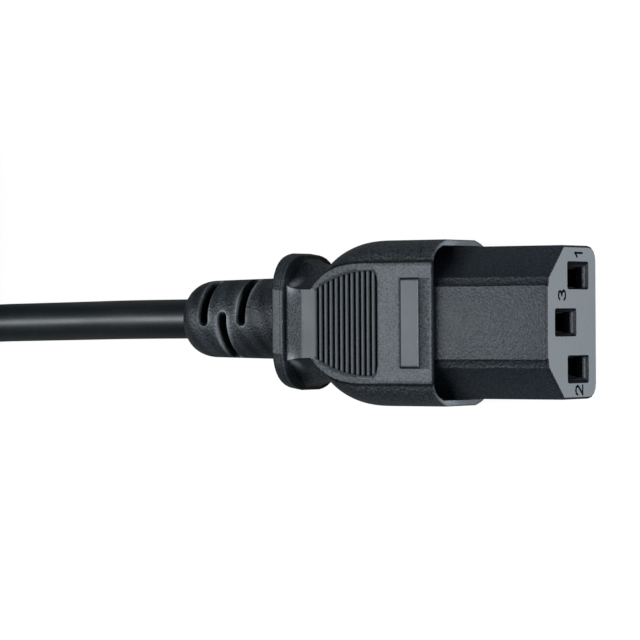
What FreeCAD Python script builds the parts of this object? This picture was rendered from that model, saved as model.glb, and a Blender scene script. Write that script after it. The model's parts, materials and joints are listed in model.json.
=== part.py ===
import FreeCAD, Part
import math
import os

# A mains extension cord: a moulded three-pole connector, a round lead, and a moulded three-pin plug.
# Millimetres, +Z up. The connector lies on its wide side along X with its mating face towards +X,
# and the origin is on the table below the middle of the connector. The lead runs towards -X.

# Mating face of the connector, which the plug's shroud is made to fit
nose_width = 24.1
nose_height = 16.0
nose_key = 4.8
nose_corner = 2.4
nose_pad_width = 11.5
nose_pad_rise = 0.2
nose_edge_width = 1.35
nose_edge_drop = 0.25
nose_length = 20.0

# The three poles
pole_spacing = 14.0
pole_rise = 2.0
entry_width = 4.4
entry_height = 6.4
entry_shift = 0.35
entry_depth = 0.8
socket_width = 3.2
socket_height = 5.4
face_wall = 1.8
cell_width = 4.4
cell_height = 6.2

# Contacts, folded from one strip of sheet
sheet = 0.4
contact_length = 13.6
contact_height = 5.0
contact_mouth = 3.0
contact_throat = 1.8
contact_root = 2.8
contact_tab = 3.0
contact_tab_width = 2.0
crimp_length = 4.5

# Conductors and the lead
strand_diameter = 1.2
core_diameter = 2.3
core_layup = 1.36
core_gather_depth = 5.0
strip_gap = 1.0
lead_diameter = 6.6

# Grip moulding
grip_width = 26.5
grip_over_nose = 1.1
grip_height = nose_height + 2 * grip_over_nose
grip_flat = 19.2
grip_corner_drop = 4.5
grip_bow = (0.62, 0.74)
grip_straight = 10.0
shoulder_power = 2.5
flat_power = 4.0
shoulder_steps = 6
neck_width = 18.4
neck_flat = 11.0
neck_corner_drop = 5.5
neck_bow = (0.46, 0.43)
hollow_power = 3
neck_drop = 1.4
neck_ramp = 4.3
neck_from_front = 22.85
flare = 1.7
flange_from_front = 28.6
flange_width = 22.1
flange_height = 17.0
flange_corner = 5.9
flange_thickness = 2.3
pocket_depth = 2.0
pocket_wall_side = 1.0
pocket_wall_top = 0.55
pocket_corner = 3.0

# Gripping ribs and the bare raised pad
rib_count = 12
rib_field_front = 10.2
rib_field_length = 12.0
rib_field_width = 16.6
rib_field_rear_width = 10.7
rib_field_bow = 1.3
rib_share = 0.5
rib_depth = 0.6
pad_from_front = 2.5
pad_length = 3.3
pad_width = 14.2
pad_rise = 0.22

# Strain relief
relief_length = 20.2
relief_root_diameter = 13.5
relief_end_diameter = 12.8
relief_tip_diameter = 7.0
relief_nose = 4.5
relief_bulge = 5.2
sleeve_wall = 0.75
slit_count = 3
slit_pitch = 3.8
slit_width = 1.9
slit_first = 4.3
slit_past_top = 1.0
slit_web = 0.9
jacket_depth = 15.0

# Insert held in the moulding
insert_depth = 14.0
insert_groove_start = 5.0
insert_groove_length = 3.0
insert_groove_depth = 0.9

# Plug at the far end
shroud_clearance = 0.3
shroud_wall = 1.7
shroud_depth = 17.0
pin_width = 4.0
pin_thickness = 2.0
pin_length = 14.5
earth_pin_extra = 1.0
pin_seat = 9.0
pin_tip = 1.0
pin_tip_inset = 0.55

# Clearances
fit_gap = 0.1
mould_gap = 0.05
strand_gap = 0.15

# Hank of the put-away length: turns pinched at the middle, in two columns side by side
fold_radius = 3.15 * lead_diameter
waist_radius = 5.0 * lead_diameter
waist_half = lead_diameter
hank_near_tip = -86.0
hank_y = 20.0
eye_end = 1.0
hank_layers = 3
tail_climb_start = 14.5
tail_climb_end = 41.1
tail_run = 53.8
tie_width = 5.0
tie_thickness = 1.2
tie_head_length = 7.0
tie_head_thickness = 4.0
tie_head_height = 7.5
tie_head_round = 0.5
tie_end_length = 3.0
tie_end_gap = 1.4

# Worked out from the sizes above
moulding_length = flange_from_front + flange_thickness + relief_length
overall_length = nose_length + moulding_length
face_x = overall_length / 2
axis_z = grip_height / 2
front_x = -nose_length
bore_end = -(overall_length - jacket_depth)
crimp_rear = -(face_wall + fit_gap + contact_length + sheet + contact_tab + crimp_length)
insert_rear = front_x - pocket_depth - insert_depth
core_turn = insert_rear - 2.5
core_gather = bore_end + core_gather_depth
plug_grow = 2 * (shroud_clearance + shroud_wall)
pin_root = -shroud_depth - pin_seat
plug_crimp_rear = pin_root - contact_tab - crimp_length
poles = {
    "live": (pole_spacing / 2, -pole_rise),
    "neutral": (-pole_spacing / 2, -pole_rise),
    "earth": (0.0, pole_rise),
}
layup = {
    "live": (core_layup * math.cos(math.radians(-30)), core_layup * math.sin(math.radians(-30))),
    "neutral": (core_layup * math.cos(math.radians(210)), core_layup * math.sin(math.radians(210))),
    "earth": (0.0, core_layup),
}
strand_pitch = lead_diameter + strand_gap


def point(x, y, z):
    """A point, or a direction, in space."""
    return FreeCAD.Vector(x, y, z)


def line(a, b):
    """Straight edge between two points."""
    return Part.LineSegment(a, b).toShape()


def arc(a, through, b):
    """Circular edge through three points."""
    return Part.Arc(a, through, b).toShape()


def box(x0, x1, y0, y1, z0, z1):
    """Rectangular solid between two corners."""
    return Part.makeBox(x1 - x0, y1 - y0, z1 - z0, point(x0, y0, z0))


def upright_bar(x0, x1, y, z, width, height):
    """Rectangular solid along X about the line at y and z."""
    return box(x0, x1, y - width / 2, y + width / 2, z - height / 2, z + height / 2)


def rod(diameter, x0, x1, y=0.0, z=0.0):
    """Round solid along X from x0 to the higher x1."""
    return Part.makeCylinder(diameter / 2, x1 - x0, point(x0, y, z), point(1, 0, 0))


def prism(edges, x0, x1):
    """Solid made by carrying a closed outline, drawn at x0, along X to x1."""
    return Part.Face(Part.Wire(edges)).extrude(point(x1 - x0, 0, 0))


def rounded_rectangle(x, width, height, corner):
    """Edges of a rounded rectangle about the axis, at one x."""
    w, h, r = width / 2, height / 2, corner
    k = r * (1 - math.sqrt(0.5))
    edges = []
    for sy, sz in ((1, 1), (1, -1), (-1, -1), (-1, 1)):
        top = point(x, sy * (w - r), sz * h)
        middle = point(x, sy * (w - k), sz * (h - k))
        side = point(x, sy * w, sz * (h - r))
        edges.append(arc(top, middle, side) if sy * sz > 0 else arc(side, middle, top))
        if sy * sz > 0:
            edges.append(line(side, point(x, sy * w, -sz * (h - r))))
        else:
            edges.append(line(top, point(x, -sy * (w - r), sz * h)))
    return edges


def keyed_outline(x, grow=0.0):
    """Edges of the mating face: two bevelled corners on the earth side, two rounded ones below.

    grow moves the whole outline outwards, as for the shroud that goes round it.
    """
    w, h = nose_width / 2 + grow, nose_height / 2 + grow
    slant = grow * math.tan(math.radians(22.5))
    key = nose_key + 2 * grow - 2 * slant
    pad = nose_pad_width / 2
    edge = pad + nose_edge_width
    step = nose_pad_rise if grow == 0 else 0.0
    drop = nose_edge_drop if grow == 0 else 0.0
    corner = nose_corner + grow
    k = corner * (1 - math.sqrt(0.5))
    upper = [(pad, h), (pad, h - step), (edge, h - step - drop)] if grow == 0 else []
    bevel_top = (edge, h - step - drop) if grow == 0 else (w - key, h)
    bevel_foot = (w, h - (w - bevel_top[0]) - step - drop)
    right = (upper or [bevel_top]) + [bevel_foot, (w, -h + corner)]
    edges = []
    for a, b in zip(right, right[1:]):
        edges.append(line(point(x, *a), point(x, *b)))
    edges.append(arc(point(x, w, -h + corner), point(x, w - k, -h + k), point(x, w - corner, -h)))
    edges.append(line(point(x, w - corner, -h), point(x, -w + corner, -h)))
    edges.append(arc(point(x, -w + corner, -h), point(x, -w + k, -h + k), point(x, -w, -h + corner)))
    left = [(-y, z) for y, z in reversed(right)]
    for a, b in zip(left, left[1:]):
        edges.append(line(point(x, *a), point(x, *b)))
    edges.append(line(point(x, *left[-1]), point(x, *right[0])))
    return edges


def grip_section(x, width, flat, height, hollow=0.0):
    """Closed outline of the grip at one x: flat top and bottom, shaped corners, upright sides.

    The corners are bowed on the grip, where hollow is 0, and scooped at the neck, where it is 1.
    """
    w, f, h = width / 2, flat / 2, height / 2
    side = h - grip_corner_drop - (neck_corner_drop - grip_corner_drop) * hollow
    share_y, share_z = (grip + (neck - grip) * hollow for grip, neck in zip(grip_bow, neck_bow))
    bow_y, bow_z = f + share_y * (w - f), side + share_z * (h - side)
    edges = [line(point(x, -f, h), point(x, f, h))]
    edges.append(arc(point(x, f, h), point(x, bow_y, bow_z), point(x, w, side)))
    edges.append(line(point(x, w, side), point(x, w, -side)))
    edges.append(arc(point(x, w, -side), point(x, bow_y, -bow_z), point(x, f, -h)))
    edges.append(line(point(x, f, -h), point(x, -f, -h)))
    edges.append(arc(point(x, -f, -h), point(x, -bow_y, -bow_z), point(x, -w, -side)))
    edges.append(line(point(x, -w, -side), point(x, -w, side)))
    edges.append(arc(point(x, -w, side), point(x, -bow_y, bow_z), point(x, -f, h)))
    return edges


def grip_block(width, height, flat):
    """The grip from its front to the flange: a straight block, then shoulders that close to a neck."""
    start = front_x - grip_straight
    straight = prism(grip_section(start, width, flat, height), start, front_x)
    neck_x = front_x - neck_from_front
    flange_x = front_x - flange_from_front
    sections = []
    for i in range(shoulder_steps + 1):
        t = i / shoulder_steps
        w = neck_width + (width - neck_width) * (1 - t**shoulder_power)
        f = neck_flat + (flat - neck_flat) * (1 - t**flat_power)
        x = start + (neck_x - start) * t
        sections.append(Part.Wire(grip_section(x, w, f, height, t**hollow_power)))
    shoulder = Part.makeLoft(sections, True, False)
    reach = neck_x - flange_x
    flared = []
    for t in (0.0, 0.55, 0.85, 1.0):
        out = 2 * flare * (1 - math.sqrt(1 - t * t))
        x = neck_x - reach * t
        flared.append(Part.Wire(grip_section(x, neck_width + out, neck_flat + out / 2, height, 1.0)))
    block = straight.fuse(shoulder).fuse(Part.makeLoft(flared, True, False))
    return block.cut(neck_ramps(height, flange_x))


def neck_ramps(height, flange_x):
    """Wedges taken off the top and the bottom of the neck, deepest at the flange."""
    h, wide = height / 2, grip_width
    ramps = []
    for side in (1, -1):
        corners = [
            point(flange_x + neck_ramp, -wide, side * h),
            point(flange_x, -wide, side * (h - neck_drop)),
            point(flange_x - neck_ramp, -wide, side * (h - neck_drop)),
            point(flange_x - neck_ramp, -wide, side * (h + neck_drop)),
            point(flange_x + neck_ramp, -wide, side * (h + neck_drop)),
        ]
        outline = [line(a, b) for a, b in zip(corners, corners[1:] + corners[:1])]
        ramps.append(Part.Face(Part.Wire(outline)).extrude(point(0, 2 * wide, 0)))
    return ramps


def rib_half_width(share):
    """Half the width of the ribbed field, share 0 at its front and 1 at its rear."""
    front, rear = rib_field_width / 2, rib_field_rear_width / 2
    return front + (rear - front) * share**2 + rib_field_bow * share * (1 - share)


def rib_field_outline(x_front, z):
    """Face of the ribbed field at height z, with bowed sides."""
    x_rear = x_front - rib_field_length
    x_middle = (x_front + x_rear) / 2
    front, middle, rear = (rib_half_width(share) for share in (0.0, 0.5, 1.0))
    edges = [
        line(point(x_front, -front, z), point(x_front, front, z)),
        arc(point(x_front, front, z), point(x_middle, middle, z), point(x_rear, rear, z)),
        line(point(x_rear, rear, z), point(x_rear, -rear, z)),
        arc(point(x_rear, -rear, z), point(x_middle, -middle, z), point(x_front, -front, z)),
    ]
    return Part.Face(Part.Wire(edges))


def ribbed(block, height):
    """The block with a ribbed field let into its top and its bottom."""
    h = height / 2
    x_front = front_x - rib_field_front
    pitch = rib_field_length / rib_count
    for side in (1, -1):
        field = rib_field_outline(x_front, side * (h - rib_depth)).extrude(point(0, 0, side * rib_depth))
        gaps = []
        for i in range(rib_count):
            x1 = x_front - i * pitch
            x0 = x1 - pitch * (1 - rib_share)
            z0, z1 = sorted((side * (h - rib_depth), side * (h + rib_depth)))
            gaps.append(field.common(box(x0, x1, -grip_width, grip_width, z0, z1)))
        block = block.cut(gaps)
    return block


def raised_pad(height):
    """Bare raised pad on top of the grip, near its front."""
    x1 = front_x - pad_from_front
    z = height / 2
    return box(x1 - pad_length, x1, -pad_width / 2, pad_width / 2, z - pad_rise, z + pad_rise)


def flange_plate():
    """Finger stop between the grip and the strain relief."""
    x1 = front_x - flange_from_front
    edges = rounded_rectangle(x1, flange_width, flange_height, flange_corner)
    return prism(edges, x1, x1 - flange_thickness)


def strain_relief():
    """Turned body of the strain relief, with its slits."""
    root_x = front_x - flange_from_front - flange_thickness
    end_x = root_x - relief_length
    shoulder_x = end_x + relief_nose
    seat_x = root_x + flange_thickness / 2
    outline = [
        line(point(seat_x, 0, 0), point(seat_x, 0, relief_root_diameter / 2)),
        line(point(seat_x, 0, relief_root_diameter / 2), point(shoulder_x, 0, relief_end_diameter / 2)),
        arc(
            point(shoulder_x, 0, relief_end_diameter / 2),
            point(end_x + 0.42 * relief_nose, 0, relief_bulge),
            point(end_x, 0, relief_tip_diameter / 2),
        ),
        line(point(end_x, 0, relief_tip_diameter / 2), point(end_x, 0, 0)),
        line(point(end_x, 0, 0), point(seat_x, 0, 0)),
    ]
    body = Part.Face(Part.Wire(outline)).revolve(point(0, 0, 0), point(1, 0, 0), 360)
    sleeve = rod(lead_diameter + 2 * mould_gap + 2 * sleeve_wall, end_x, root_x + flange_thickness)
    reach = relief_root_diameter
    slits = []
    for i in range(slit_count):
        x0 = end_x + slit_first + i * slit_pitch
        for up in (1, -1):
            side = up * (1 if i % 2 == 0 else -1)
            y0, y1 = sorted((-side * slit_past_top, side * reach))
            z0, z1 = sorted((up * slit_web, up * reach))
            slits.append(box(x0, x0 + slit_width, y0, y1, z0, z1).cut(sleeve))
    return body.cut(slits)


def rounded_path(points):
    """Straight runs joined by tangent arcs.

    Each arc is as large as its two runs allow: it starts 0.45 of the shorter run before the corner.
    Returns the path's edges, their whole length, and the radii.
    """
    edges, radii = [], []
    last = points[0]
    for before, corner, after in zip(points, points[1:], points[2:]):
        back, ahead = before - corner, after - corner
        reach = 0.45 * min(back.Length, ahead.Length)
        half_turn = (math.pi - back.getAngle(ahead)) / 2
        start = corner + back.normalize() * reach
        end = corner + ahead.normalize() * reach
        radius = reach / math.tan(half_turn)
        towards = (back + ahead).normalize()
        middle = corner + towards * (math.hypot(radius, reach) - radius)
        edges.append(line(last, start))
        edges.append(arc(start, middle, end))
        radii.append(radius)
        last = end
    edges.append(line(last, points[-1]))
    return edges, sum(edge.Length for edge in edges), radii


def tube(points, diameter):
    """Round solid along a rounded path, and what was measured of it."""
    edges, length, radii = rounded_path(points)
    start = points[1] - points[0]
    profile = Part.Wire([Part.makeCircle(diameter / 2, points[0], start)])
    solid = Part.Wire(edges).makePipeShell([profile], True, False)
    return solid, length, radii


def core_path(pole, hand, x_start):
    """Corners of one core's path, from behind its contact to the end of the jacket.

    hand is 1 in the connector and -1 in the plug, whose poles are its mirror image.
    """
    (y0, z0), (y1, z1) = poles[pole], layup[pole]
    corners = [(x_start, y0, z0), (core_turn, y0, z0), (core_gather, y1, z1), (bore_end, y1, z1)]
    return [point(x, hand * y, z) for x, y, z in corners]


def conductor(pole, hand, crimp_x):
    """One core's insulation, its bare strands, and the channel that the moulding leaves for it."""
    path = core_path(pole, hand, crimp_x + crimp_length - fit_gap)
    strands = tube(path, strand_diameter)[0]
    bore = tube(path, strand_diameter + 2 * mould_gap)[0]
    stripped = box(crimp_x - strip_gap, 0, -nose_width, nose_width, -nose_height, nose_height)
    cover = tube(path, core_diameter)[0].cut([bore, stripped])
    channel = tube(path, core_diameter + 2 * mould_gap)[0]
    return cover, strands, channel


def crimp(rear_x, y, z):
    """Crimp barrel with the tab that ties it to the contact in front of it."""
    inner = strand_diameter + 2 * mould_gap
    barrel = rod(inner + 2 * sheet, rear_x, rear_x + crimp_length, y, z)
    z1 = z - inner / 2
    tab = box(
        rear_x + crimp_length - sheet,
        rear_x + crimp_length + contact_tab + sheet / 2,
        y - contact_tab_width / 2,
        y + contact_tab_width / 2,
        z1 - sheet,
        z1,
    )
    return barrel.fuse(tab).cut(rod(inner, rear_x, rear_x + crimp_length, y, z))


def fork_contact(y, z):
    """Female contact: two bowed leaves on a back web, a tab and a crimp barrel."""
    mouth_x = -(face_wall + fit_gap)
    root_x = mouth_x - contact_length
    throat_x = (mouth_x + root_x) / 2
    leaves = []
    for side in (1, -1):
        inner = [(mouth_x, contact_mouth / 2), (throat_x, contact_throat / 2), (root_x, contact_root / 2)]
        low = [point(px, y + side * py, z - contact_height / 2) for px, py in inner]
        high = [point(px, y + side * (py + sheet), z - contact_height / 2) for px, py in inner]
        outline = [arc(*low), line(low[2], high[2]), arc(high[2], high[1], high[0]), line(high[0], low[0])]
        leaves.append(Part.Face(Part.Wire(outline)).extrude(point(0, 0, contact_height)))
    half = contact_root / 2 + sheet
    web = box(root_x - sheet, root_x, y - half, y + half, z - contact_height / 2, z + contact_height / 2)
    return web.fuse(leaves).fuse(crimp(crimp_rear, y, z)).removeSplitter()


def blade_pin(pole, y, z):
    """Flat pin of the plug with a bevelled tip, and the crimp barrel behind it."""
    tip_x = pin_length - shroud_depth + (earth_pin_extra if pole == "earth" else 0.0)
    shank = upright_bar(pin_root, tip_x - pin_tip, y, z, pin_thickness, pin_width)
    wires = []
    for x, inset in ((tip_x - pin_tip, 0.0), (tip_x, pin_tip_inset)):
        w, h = pin_thickness / 2 - inset, pin_width / 2 - inset
        signs = ((-1, -1), (1, -1), (1, 1), (-1, 1))
        corners = [point(x, y + sy * w, z + sz * h) for sy, sz in signs]
        wires.append(Part.Wire([line(a, b) for a, b in zip(corners, corners[1:] + corners[:1])]))
    tip = Part.makeLoft(wires, True, True)
    return shank.fuse(tip).fuse(crimp(plug_crimp_rear, y, z)).removeSplitter()


def socket_cell(pole):
    """Opening for one pole: bevelled entry, slot in the face wall, and the cell for the contact."""
    y, z = poles[pole]
    shift = entry_shift * (1 if y > 0 else -1 if y < 0 else 0)
    wires = []
    for x, yc, w, h in (
        (0.0, y + shift, entry_width, entry_height),
        (-entry_depth, y, socket_width, socket_height),
    ):
        corners = [
            point(x, yc - w / 2, z - h / 2),
            point(x, yc + w / 2, z - h / 2),
            point(x, yc + w / 2, z + h / 2),
            point(x, yc - w / 2, z + h / 2),
        ]
        wires.append(Part.Wire([line(a, b) for a, b in zip(corners, corners[1:] + corners[:1])]))
    entry = Part.makeLoft(wires, True, True)
    slot = upright_bar(-face_wall, -entry_depth, y, z, socket_width, socket_height)
    cell = upright_bar(insert_rear, -face_wall, y, z, cell_width, cell_height)
    return entry.fuse(slot).fuse(cell)


def insert_block(x_front):
    """Part of an insert that the moulding holds, with a groove round it that locks it in."""
    block = prism(keyed_outline(insert_rear), insert_rear, x_front)
    groove_x = front_x - pocket_depth - insert_groove_start
    w, h = nose_width / 2, nose_height / 2
    ring = box(groove_x - insert_groove_length, groove_x, -w, w, -h, h)
    core = box(
        groove_x - insert_groove_length,
        groove_x,
        -w + insert_groove_depth,
        w - insert_groove_depth,
        -h + insert_groove_depth,
        h - insert_groove_depth,
    )
    return block.cut(ring.cut(core))


def moulding(width, height, flat):
    """Solid of one overmoulding, before what it holds is taken out of it."""
    block = ribbed(grip_block(width, height, flat), height)
    block = block.fuse(raised_pad(height)).fuse(flange_plate()).fuse(strain_relief())
    bore = rod(lead_diameter + 2 * mould_gap, -overall_length, bore_end)
    return block.cut(bore)


def moulded(outer, hand, crimp_x, cavities):
    """The moulding round the block of its insert, with the three cores and their strands.

    Returns the moulding and the cores' pieces, each under its pole's name.
    """
    taken = cavities
    wires = {}
    for pole in poles:
        cover, strands, channel = conductor(pole, hand, crimp_x)
        wires[pole + "_core"] = cover
        wires[pole + "_strands"] = strands
        taken.append(channel)
    return outer.cut(taken), wires


def connector():
    """Every piece of the connector, with the mating face at x = 0 and the axis at y = z = 0."""
    nose = insert_block(0.0).cut([socket_cell(pole) for pole in poles])
    pocket_x = front_x - pocket_depth
    rim_width = grip_width - 2 * pocket_wall_side
    rim_height = grip_height - 2 * pocket_wall_top
    pocket = prism(rounded_rectangle(pocket_x, rim_width, rim_height, pocket_corner), pocket_x, front_x)
    outer = moulding(grip_width, grip_height, grip_flat)
    overmould, wires = moulded(outer, 1, crimp_rear, [pocket, insert_block(0.0)])
    pieces = {"connector_nose": nose, "connector_overmould": overmould}
    for pole, (y, z) in poles.items():
        pieces[pole + "_contact"] = fork_contact(y, z)
    return {**pieces, **wires}


def plug_shroud():
    """Insert of the plug: a keyed shroud round the pins, its base, and the block the moulding holds."""
    outer = prism(keyed_outline(front_x, plug_grow / 2), front_x, 0.0)
    inner = prism(keyed_outline(-shroud_depth, shroud_clearance), -shroud_depth, 0.0)
    body = outer.cut(inner).fuse(insert_block(front_x)).removeSplitter()
    holes = []
    for pole, (y, z) in poles.items():
        holes.append(upright_bar(pin_root, -shroud_depth, -y, z, pin_thickness, pin_width))
        holes.append(upright_bar(insert_rear, pin_root, -y, z, cell_width, cell_height))
    return body.cut(holes)


def plug():
    """Every piece of the plug, in a frame of its own like the connector's."""
    shroud = plug_shroud()
    outer = moulding(nose_width + plug_grow, nose_height + plug_grow, grip_flat)
    overmould, wires = moulded(outer, -1, plug_crimp_rear, [insert_block(front_x)])
    pieces = {"shroud": shroud, "overmould": overmould}
    for pole, (y, z) in poles.items():
        pieces[pole + "_pin"] = blade_pin(pole, -y, z)
    return {**pieces, **wires}


def bone_outline(out, z):
    """Face of the hank's plan outline at height z, the given distance outside its inner strand."""
    loop, swing, waist = fold_radius + out, waist_radius - out, strand_pitch / 2 + out
    edges = []
    for sx, sy in ((1, 1), (1, -1), (-1, -1), (-1, 1)):
        centre = point(sx * waist_half, sy * (waist + swing), z)
        towards = point(sx * loop_offset, 0, z) - centre
        neck_point = point(sx * waist_half, sy * waist, z)
        half_way = (towards.normalize() + point(0, -sy, 0)).normalize()
        join = centre + towards * swing
        swing_arc = arc(neck_point, centre + half_way * swing, join)
        tip = point(sx * (loop_offset + loop), 0, z)
        if sx * sy > 0:
            edges += [swing_arc, arc(join, tip, point(join.x, -join.y, z))]
        else:
            edges += [swing_arc, line(neck_point, point(-sx * waist_half, sy * waist, z))]
    return Part.Face(Part.Wire(edges))


def hank_eye(side):
    """The open space inside one end loop of the hank, through all its layers."""
    loop, swing = fold_radius - lead_diameter / 2, waist_radius + lead_diameter / 2
    centre_y = waist_radius + strand_pitch / 2
    slope = math.acos((centre_y - eye_end) / swing)
    edges = []
    joins = []
    for sy in (1, -1):
        centre = point(side * waist_half, sy * centre_y, 0)
        towards = (point(side * loop_offset, 0, 0) - centre).normalize()
        join = centre + towards * swing
        start = centre + point(side * math.sin(slope), -sy * math.cos(slope), 0) * swing
        middle = (start - centre).normalize() + (join - centre).normalize()
        edges.append(arc(start, centre + middle.normalize() * swing, join))
        joins.append((start, join))
    edges.append(line(joins[0][0], joins[1][0]))
    edges.append(arc(joins[0][1], point(side * (loop_offset + loop), 0, 0), joins[1][1]))
    face = Part.Face(Part.Wire(Part.__sortEdges__(edges)))
    return face.extrude(point(0, 0, (hank_layers + 1) * lead_diameter))


def hank(lead_channel):
    """One solid of the hank's outer shape, about its own middle, with a channel for the lead.

    A quarter of a turn on top is where the lead has risen over the others and leaves the hank.
    """
    wide = strand_pitch + lead_diameter / 2
    top = hank_layers * lead_diameter
    turns = bone_outline(wide, 0).extrude(point(0, 0, top))
    last_rise = bone_outline(lead_diameter / 2, top).extrude(point(0, 0, lead_diameter))
    quarter = box(loop_offset, loop_offset + 50, -50, 0, top, top + lead_diameter)
    body = turns.fuse(last_rise.common(quarter))
    tie_slot = tie_width / 2 + fit_gap
    under_tie = box(-tie_slot, tie_slot, -50, 50, 0, tie_thickness)
    return body.cut([hank_eye(1), hank_eye(-1), under_tie, lead_channel])


def cable_tie():
    """Band round the hank's waist with its head on the +Y side, about the hank's middle."""
    w1 = 1.5 * strand_pitch + lead_diameter / 2
    z1 = hank_layers * lead_diameter
    x0 = -tie_width / 2
    corners = [point(x0, y, z) for y, z in ((-w1, tie_thickness), (w1, tie_thickness), (w1, z1), (-w1, z1))]
    inner = Part.Face(Part.Wire([line(a, b) for a, b in zip(corners, corners[1:] + corners[:1])]))
    outer = inner.makeOffset2D(tie_thickness)
    band = outer.cut(inner).extrude(point(tie_width, 0, 0))
    head_z = z1 / 2 - tie_head_height / 2
    half = tie_head_length / 2
    head = box(-half, half, w1, w1 + tie_head_thickness, head_z, head_z + tie_head_height)
    head = head.makeFillet(tie_head_round, [edge for edge in head.Edges if edge.Length > 1.0])
    end_y = w1 + tie_end_gap
    end = box(-tie_width / 2, tie_width / 2, end_y, end_y + tie_thickness, head_z - tie_end_length, head_z + 1)
    inside = inner.extrude(point(tie_head_length, 0, 0))
    inside.translate(point(-1, 0, 0))
    return band.fuse([head, end]).cut(inside).removeSplitter()


def lead_channel():
    """Rectangular way that the incoming lead takes through the hank's bottom layer."""
    path = Part.Wire(rounded_path(lead_route[2:])[0])
    start, towards = lead_route[2], lead_route[3] - lead_route[2]
    across = point(-towards.y, towards.x, 0).normalize() * (lead_diameter / 2 + fit_gap)
    low, high = point(0, 0, -start.z), point(0, 0, start.z + fit_gap)
    corners = [start - across + low, start + across + low, start + across + high, start - across + high]
    profile = Part.Wire([line(a, b) for a, b in zip(corners, corners[1:] + corners[:1])])
    return path.makePipeShell([profile], True, False)


def moved(shape, x, y, z):
    """The shape carried to another place."""
    copy = shape.copy()
    copy.translate(point(x, y, z))
    return copy


def turned(shape):
    """The shape turned half round about the upright axis through the origin."""
    copy = shape.copy()
    copy.rotate(point(0, 0, 0), point(0, 0, 1), 180)
    return copy


def check_tube(name, solid, length, radii):
    """Print a tube's volume against its section times its length, and its bend radii."""
    expected = math.pi * (lead_diameter / 2) ** 2 * length
    rounded = [round(radius / lead_diameter, 1) for radius in radii]
    print(name, "volume ratio", round(solid.Volume / expected, 4), "length", round(length, 1))
    print(name, "bend radii in diameters", rounded)


# Places of the hank and the plug, and the lead's route between the pieces
wide_loop = fold_radius + strand_pitch
swing_turn = math.acos((waist_radius + strand_pitch / 2) / (waist_radius + fold_radius))
loop_offset = waist_half + (waist_radius + fold_radius) * math.sin(swing_turn)
loop_x = hank_near_tip - wide_loop - lead_diameter / 2
hank_x = loop_x - loop_offset
merge_y = hank_y - wide_loop
floor_z = lead_diameter / 2
relief_x = -overall_length / 2
lead_start = relief_x + jacket_depth
lead_route = [
    point(lead_start, 0, axis_z),
    point(-48.2, 0, axis_z),
    point(-76.6, 0, floor_z),
    point(-97.2, merge_y, floor_z),
    point(loop_x, merge_y, floor_z),
]
leave_y = hank_y - fold_radius
leave_z = (hank_layers + 0.5) * lead_diameter
plug_z = hank_layers * lead_diameter + (nose_height + plug_grow) / 2
plug_rear = loop_x - tail_run
tail_route = [
    point(loop_x, leave_y, leave_z),
    point(loop_x - tail_climb_start, leave_y, leave_z),
    point(loop_x - tail_climb_end, 0, plug_z),
    point(plug_rear - jacket_depth, 0, plug_z),
]


def whole_cord():
    """Every piece in its place: connector, lead, hank, tie, tail and plug."""
    pieces = {}
    for name, shape in connector().items():
        pieces[name] = moved(shape, face_x, 0, axis_z)
    for name, shape in plug().items():
        pieces["plug_" + name] = moved(turned(shape), plug_rear - overall_length, 0, plug_z)
    for name, route in (("cord_lead", lead_route), ("cord_tail", tail_route)):
        solid, length, radii = tube(route, lead_diameter)
        check_tube(name, solid, length, radii)
        pieces[name] = solid
    channel = moved(lead_channel(), -hank_x, -hank_y, 0)
    pieces["cord_hank"] = moved(hank(channel), hank_x, hank_y, 0)
    pieces["cord_tie"] = moved(cable_tie(), hank_x, hank_y, 0)
    return pieces


os.makedirs("parts", exist_ok=True)
for name, shape in whole_cord().items():
    shape.exportStep("parts/" + name + ".step")
    print(name, len(shape.Solids), shape.isValid(), round(shape.Volume, 2))
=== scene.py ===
import json
import logging
import math
from dataclasses import dataclass, field, replace
from enum import Enum

import bpy
import numpy as np
from mathutils import Matrix, Vector
from mathutils.geometry import tessellate_polygon


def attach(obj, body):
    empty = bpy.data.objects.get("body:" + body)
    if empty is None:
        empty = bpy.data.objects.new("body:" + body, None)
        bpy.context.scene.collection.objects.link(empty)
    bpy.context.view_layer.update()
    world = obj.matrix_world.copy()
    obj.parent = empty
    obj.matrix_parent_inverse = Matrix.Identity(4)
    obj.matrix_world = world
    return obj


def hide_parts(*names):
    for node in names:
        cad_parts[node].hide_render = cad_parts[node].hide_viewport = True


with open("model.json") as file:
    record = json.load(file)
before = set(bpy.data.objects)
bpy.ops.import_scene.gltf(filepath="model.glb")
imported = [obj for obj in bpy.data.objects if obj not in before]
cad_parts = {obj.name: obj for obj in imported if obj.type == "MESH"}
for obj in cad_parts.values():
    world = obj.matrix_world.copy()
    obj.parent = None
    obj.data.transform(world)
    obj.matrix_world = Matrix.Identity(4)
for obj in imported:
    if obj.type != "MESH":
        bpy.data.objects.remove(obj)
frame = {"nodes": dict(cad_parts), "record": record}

# A mains extension cord, finished for rendering.
# The frame gives every solid its size and place. This script replaces the mouldings, the inserts and the
# lead by finished meshes, gives every piece its material, and sets the camera and the lights. Lengths are
# millimetres in each piece's own frame, like the part's source, and become metres when a mesh is made.

logging.basicConfig(level=logging.INFO, format="%(name)s: %(message)s")
LOG = logging.getLogger("cord")
MM = 0.001
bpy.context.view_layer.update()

# Points along each rounded corner of an outline
CORNER_STEPS = 5
WHITE = (1.0, 1.0, 1.0, 1.0)

Values = float | list | np.ndarray
Colour = tuple[float, float, float]
Rings = dict[str, np.ndarray]
Socket = bpy.types.NodeSocket
Piece = bpy.types.Object


class Side(Enum):
    """Which way a moulded end faces along X."""

    CONNECTOR = 1
    PLUG = -1


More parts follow.
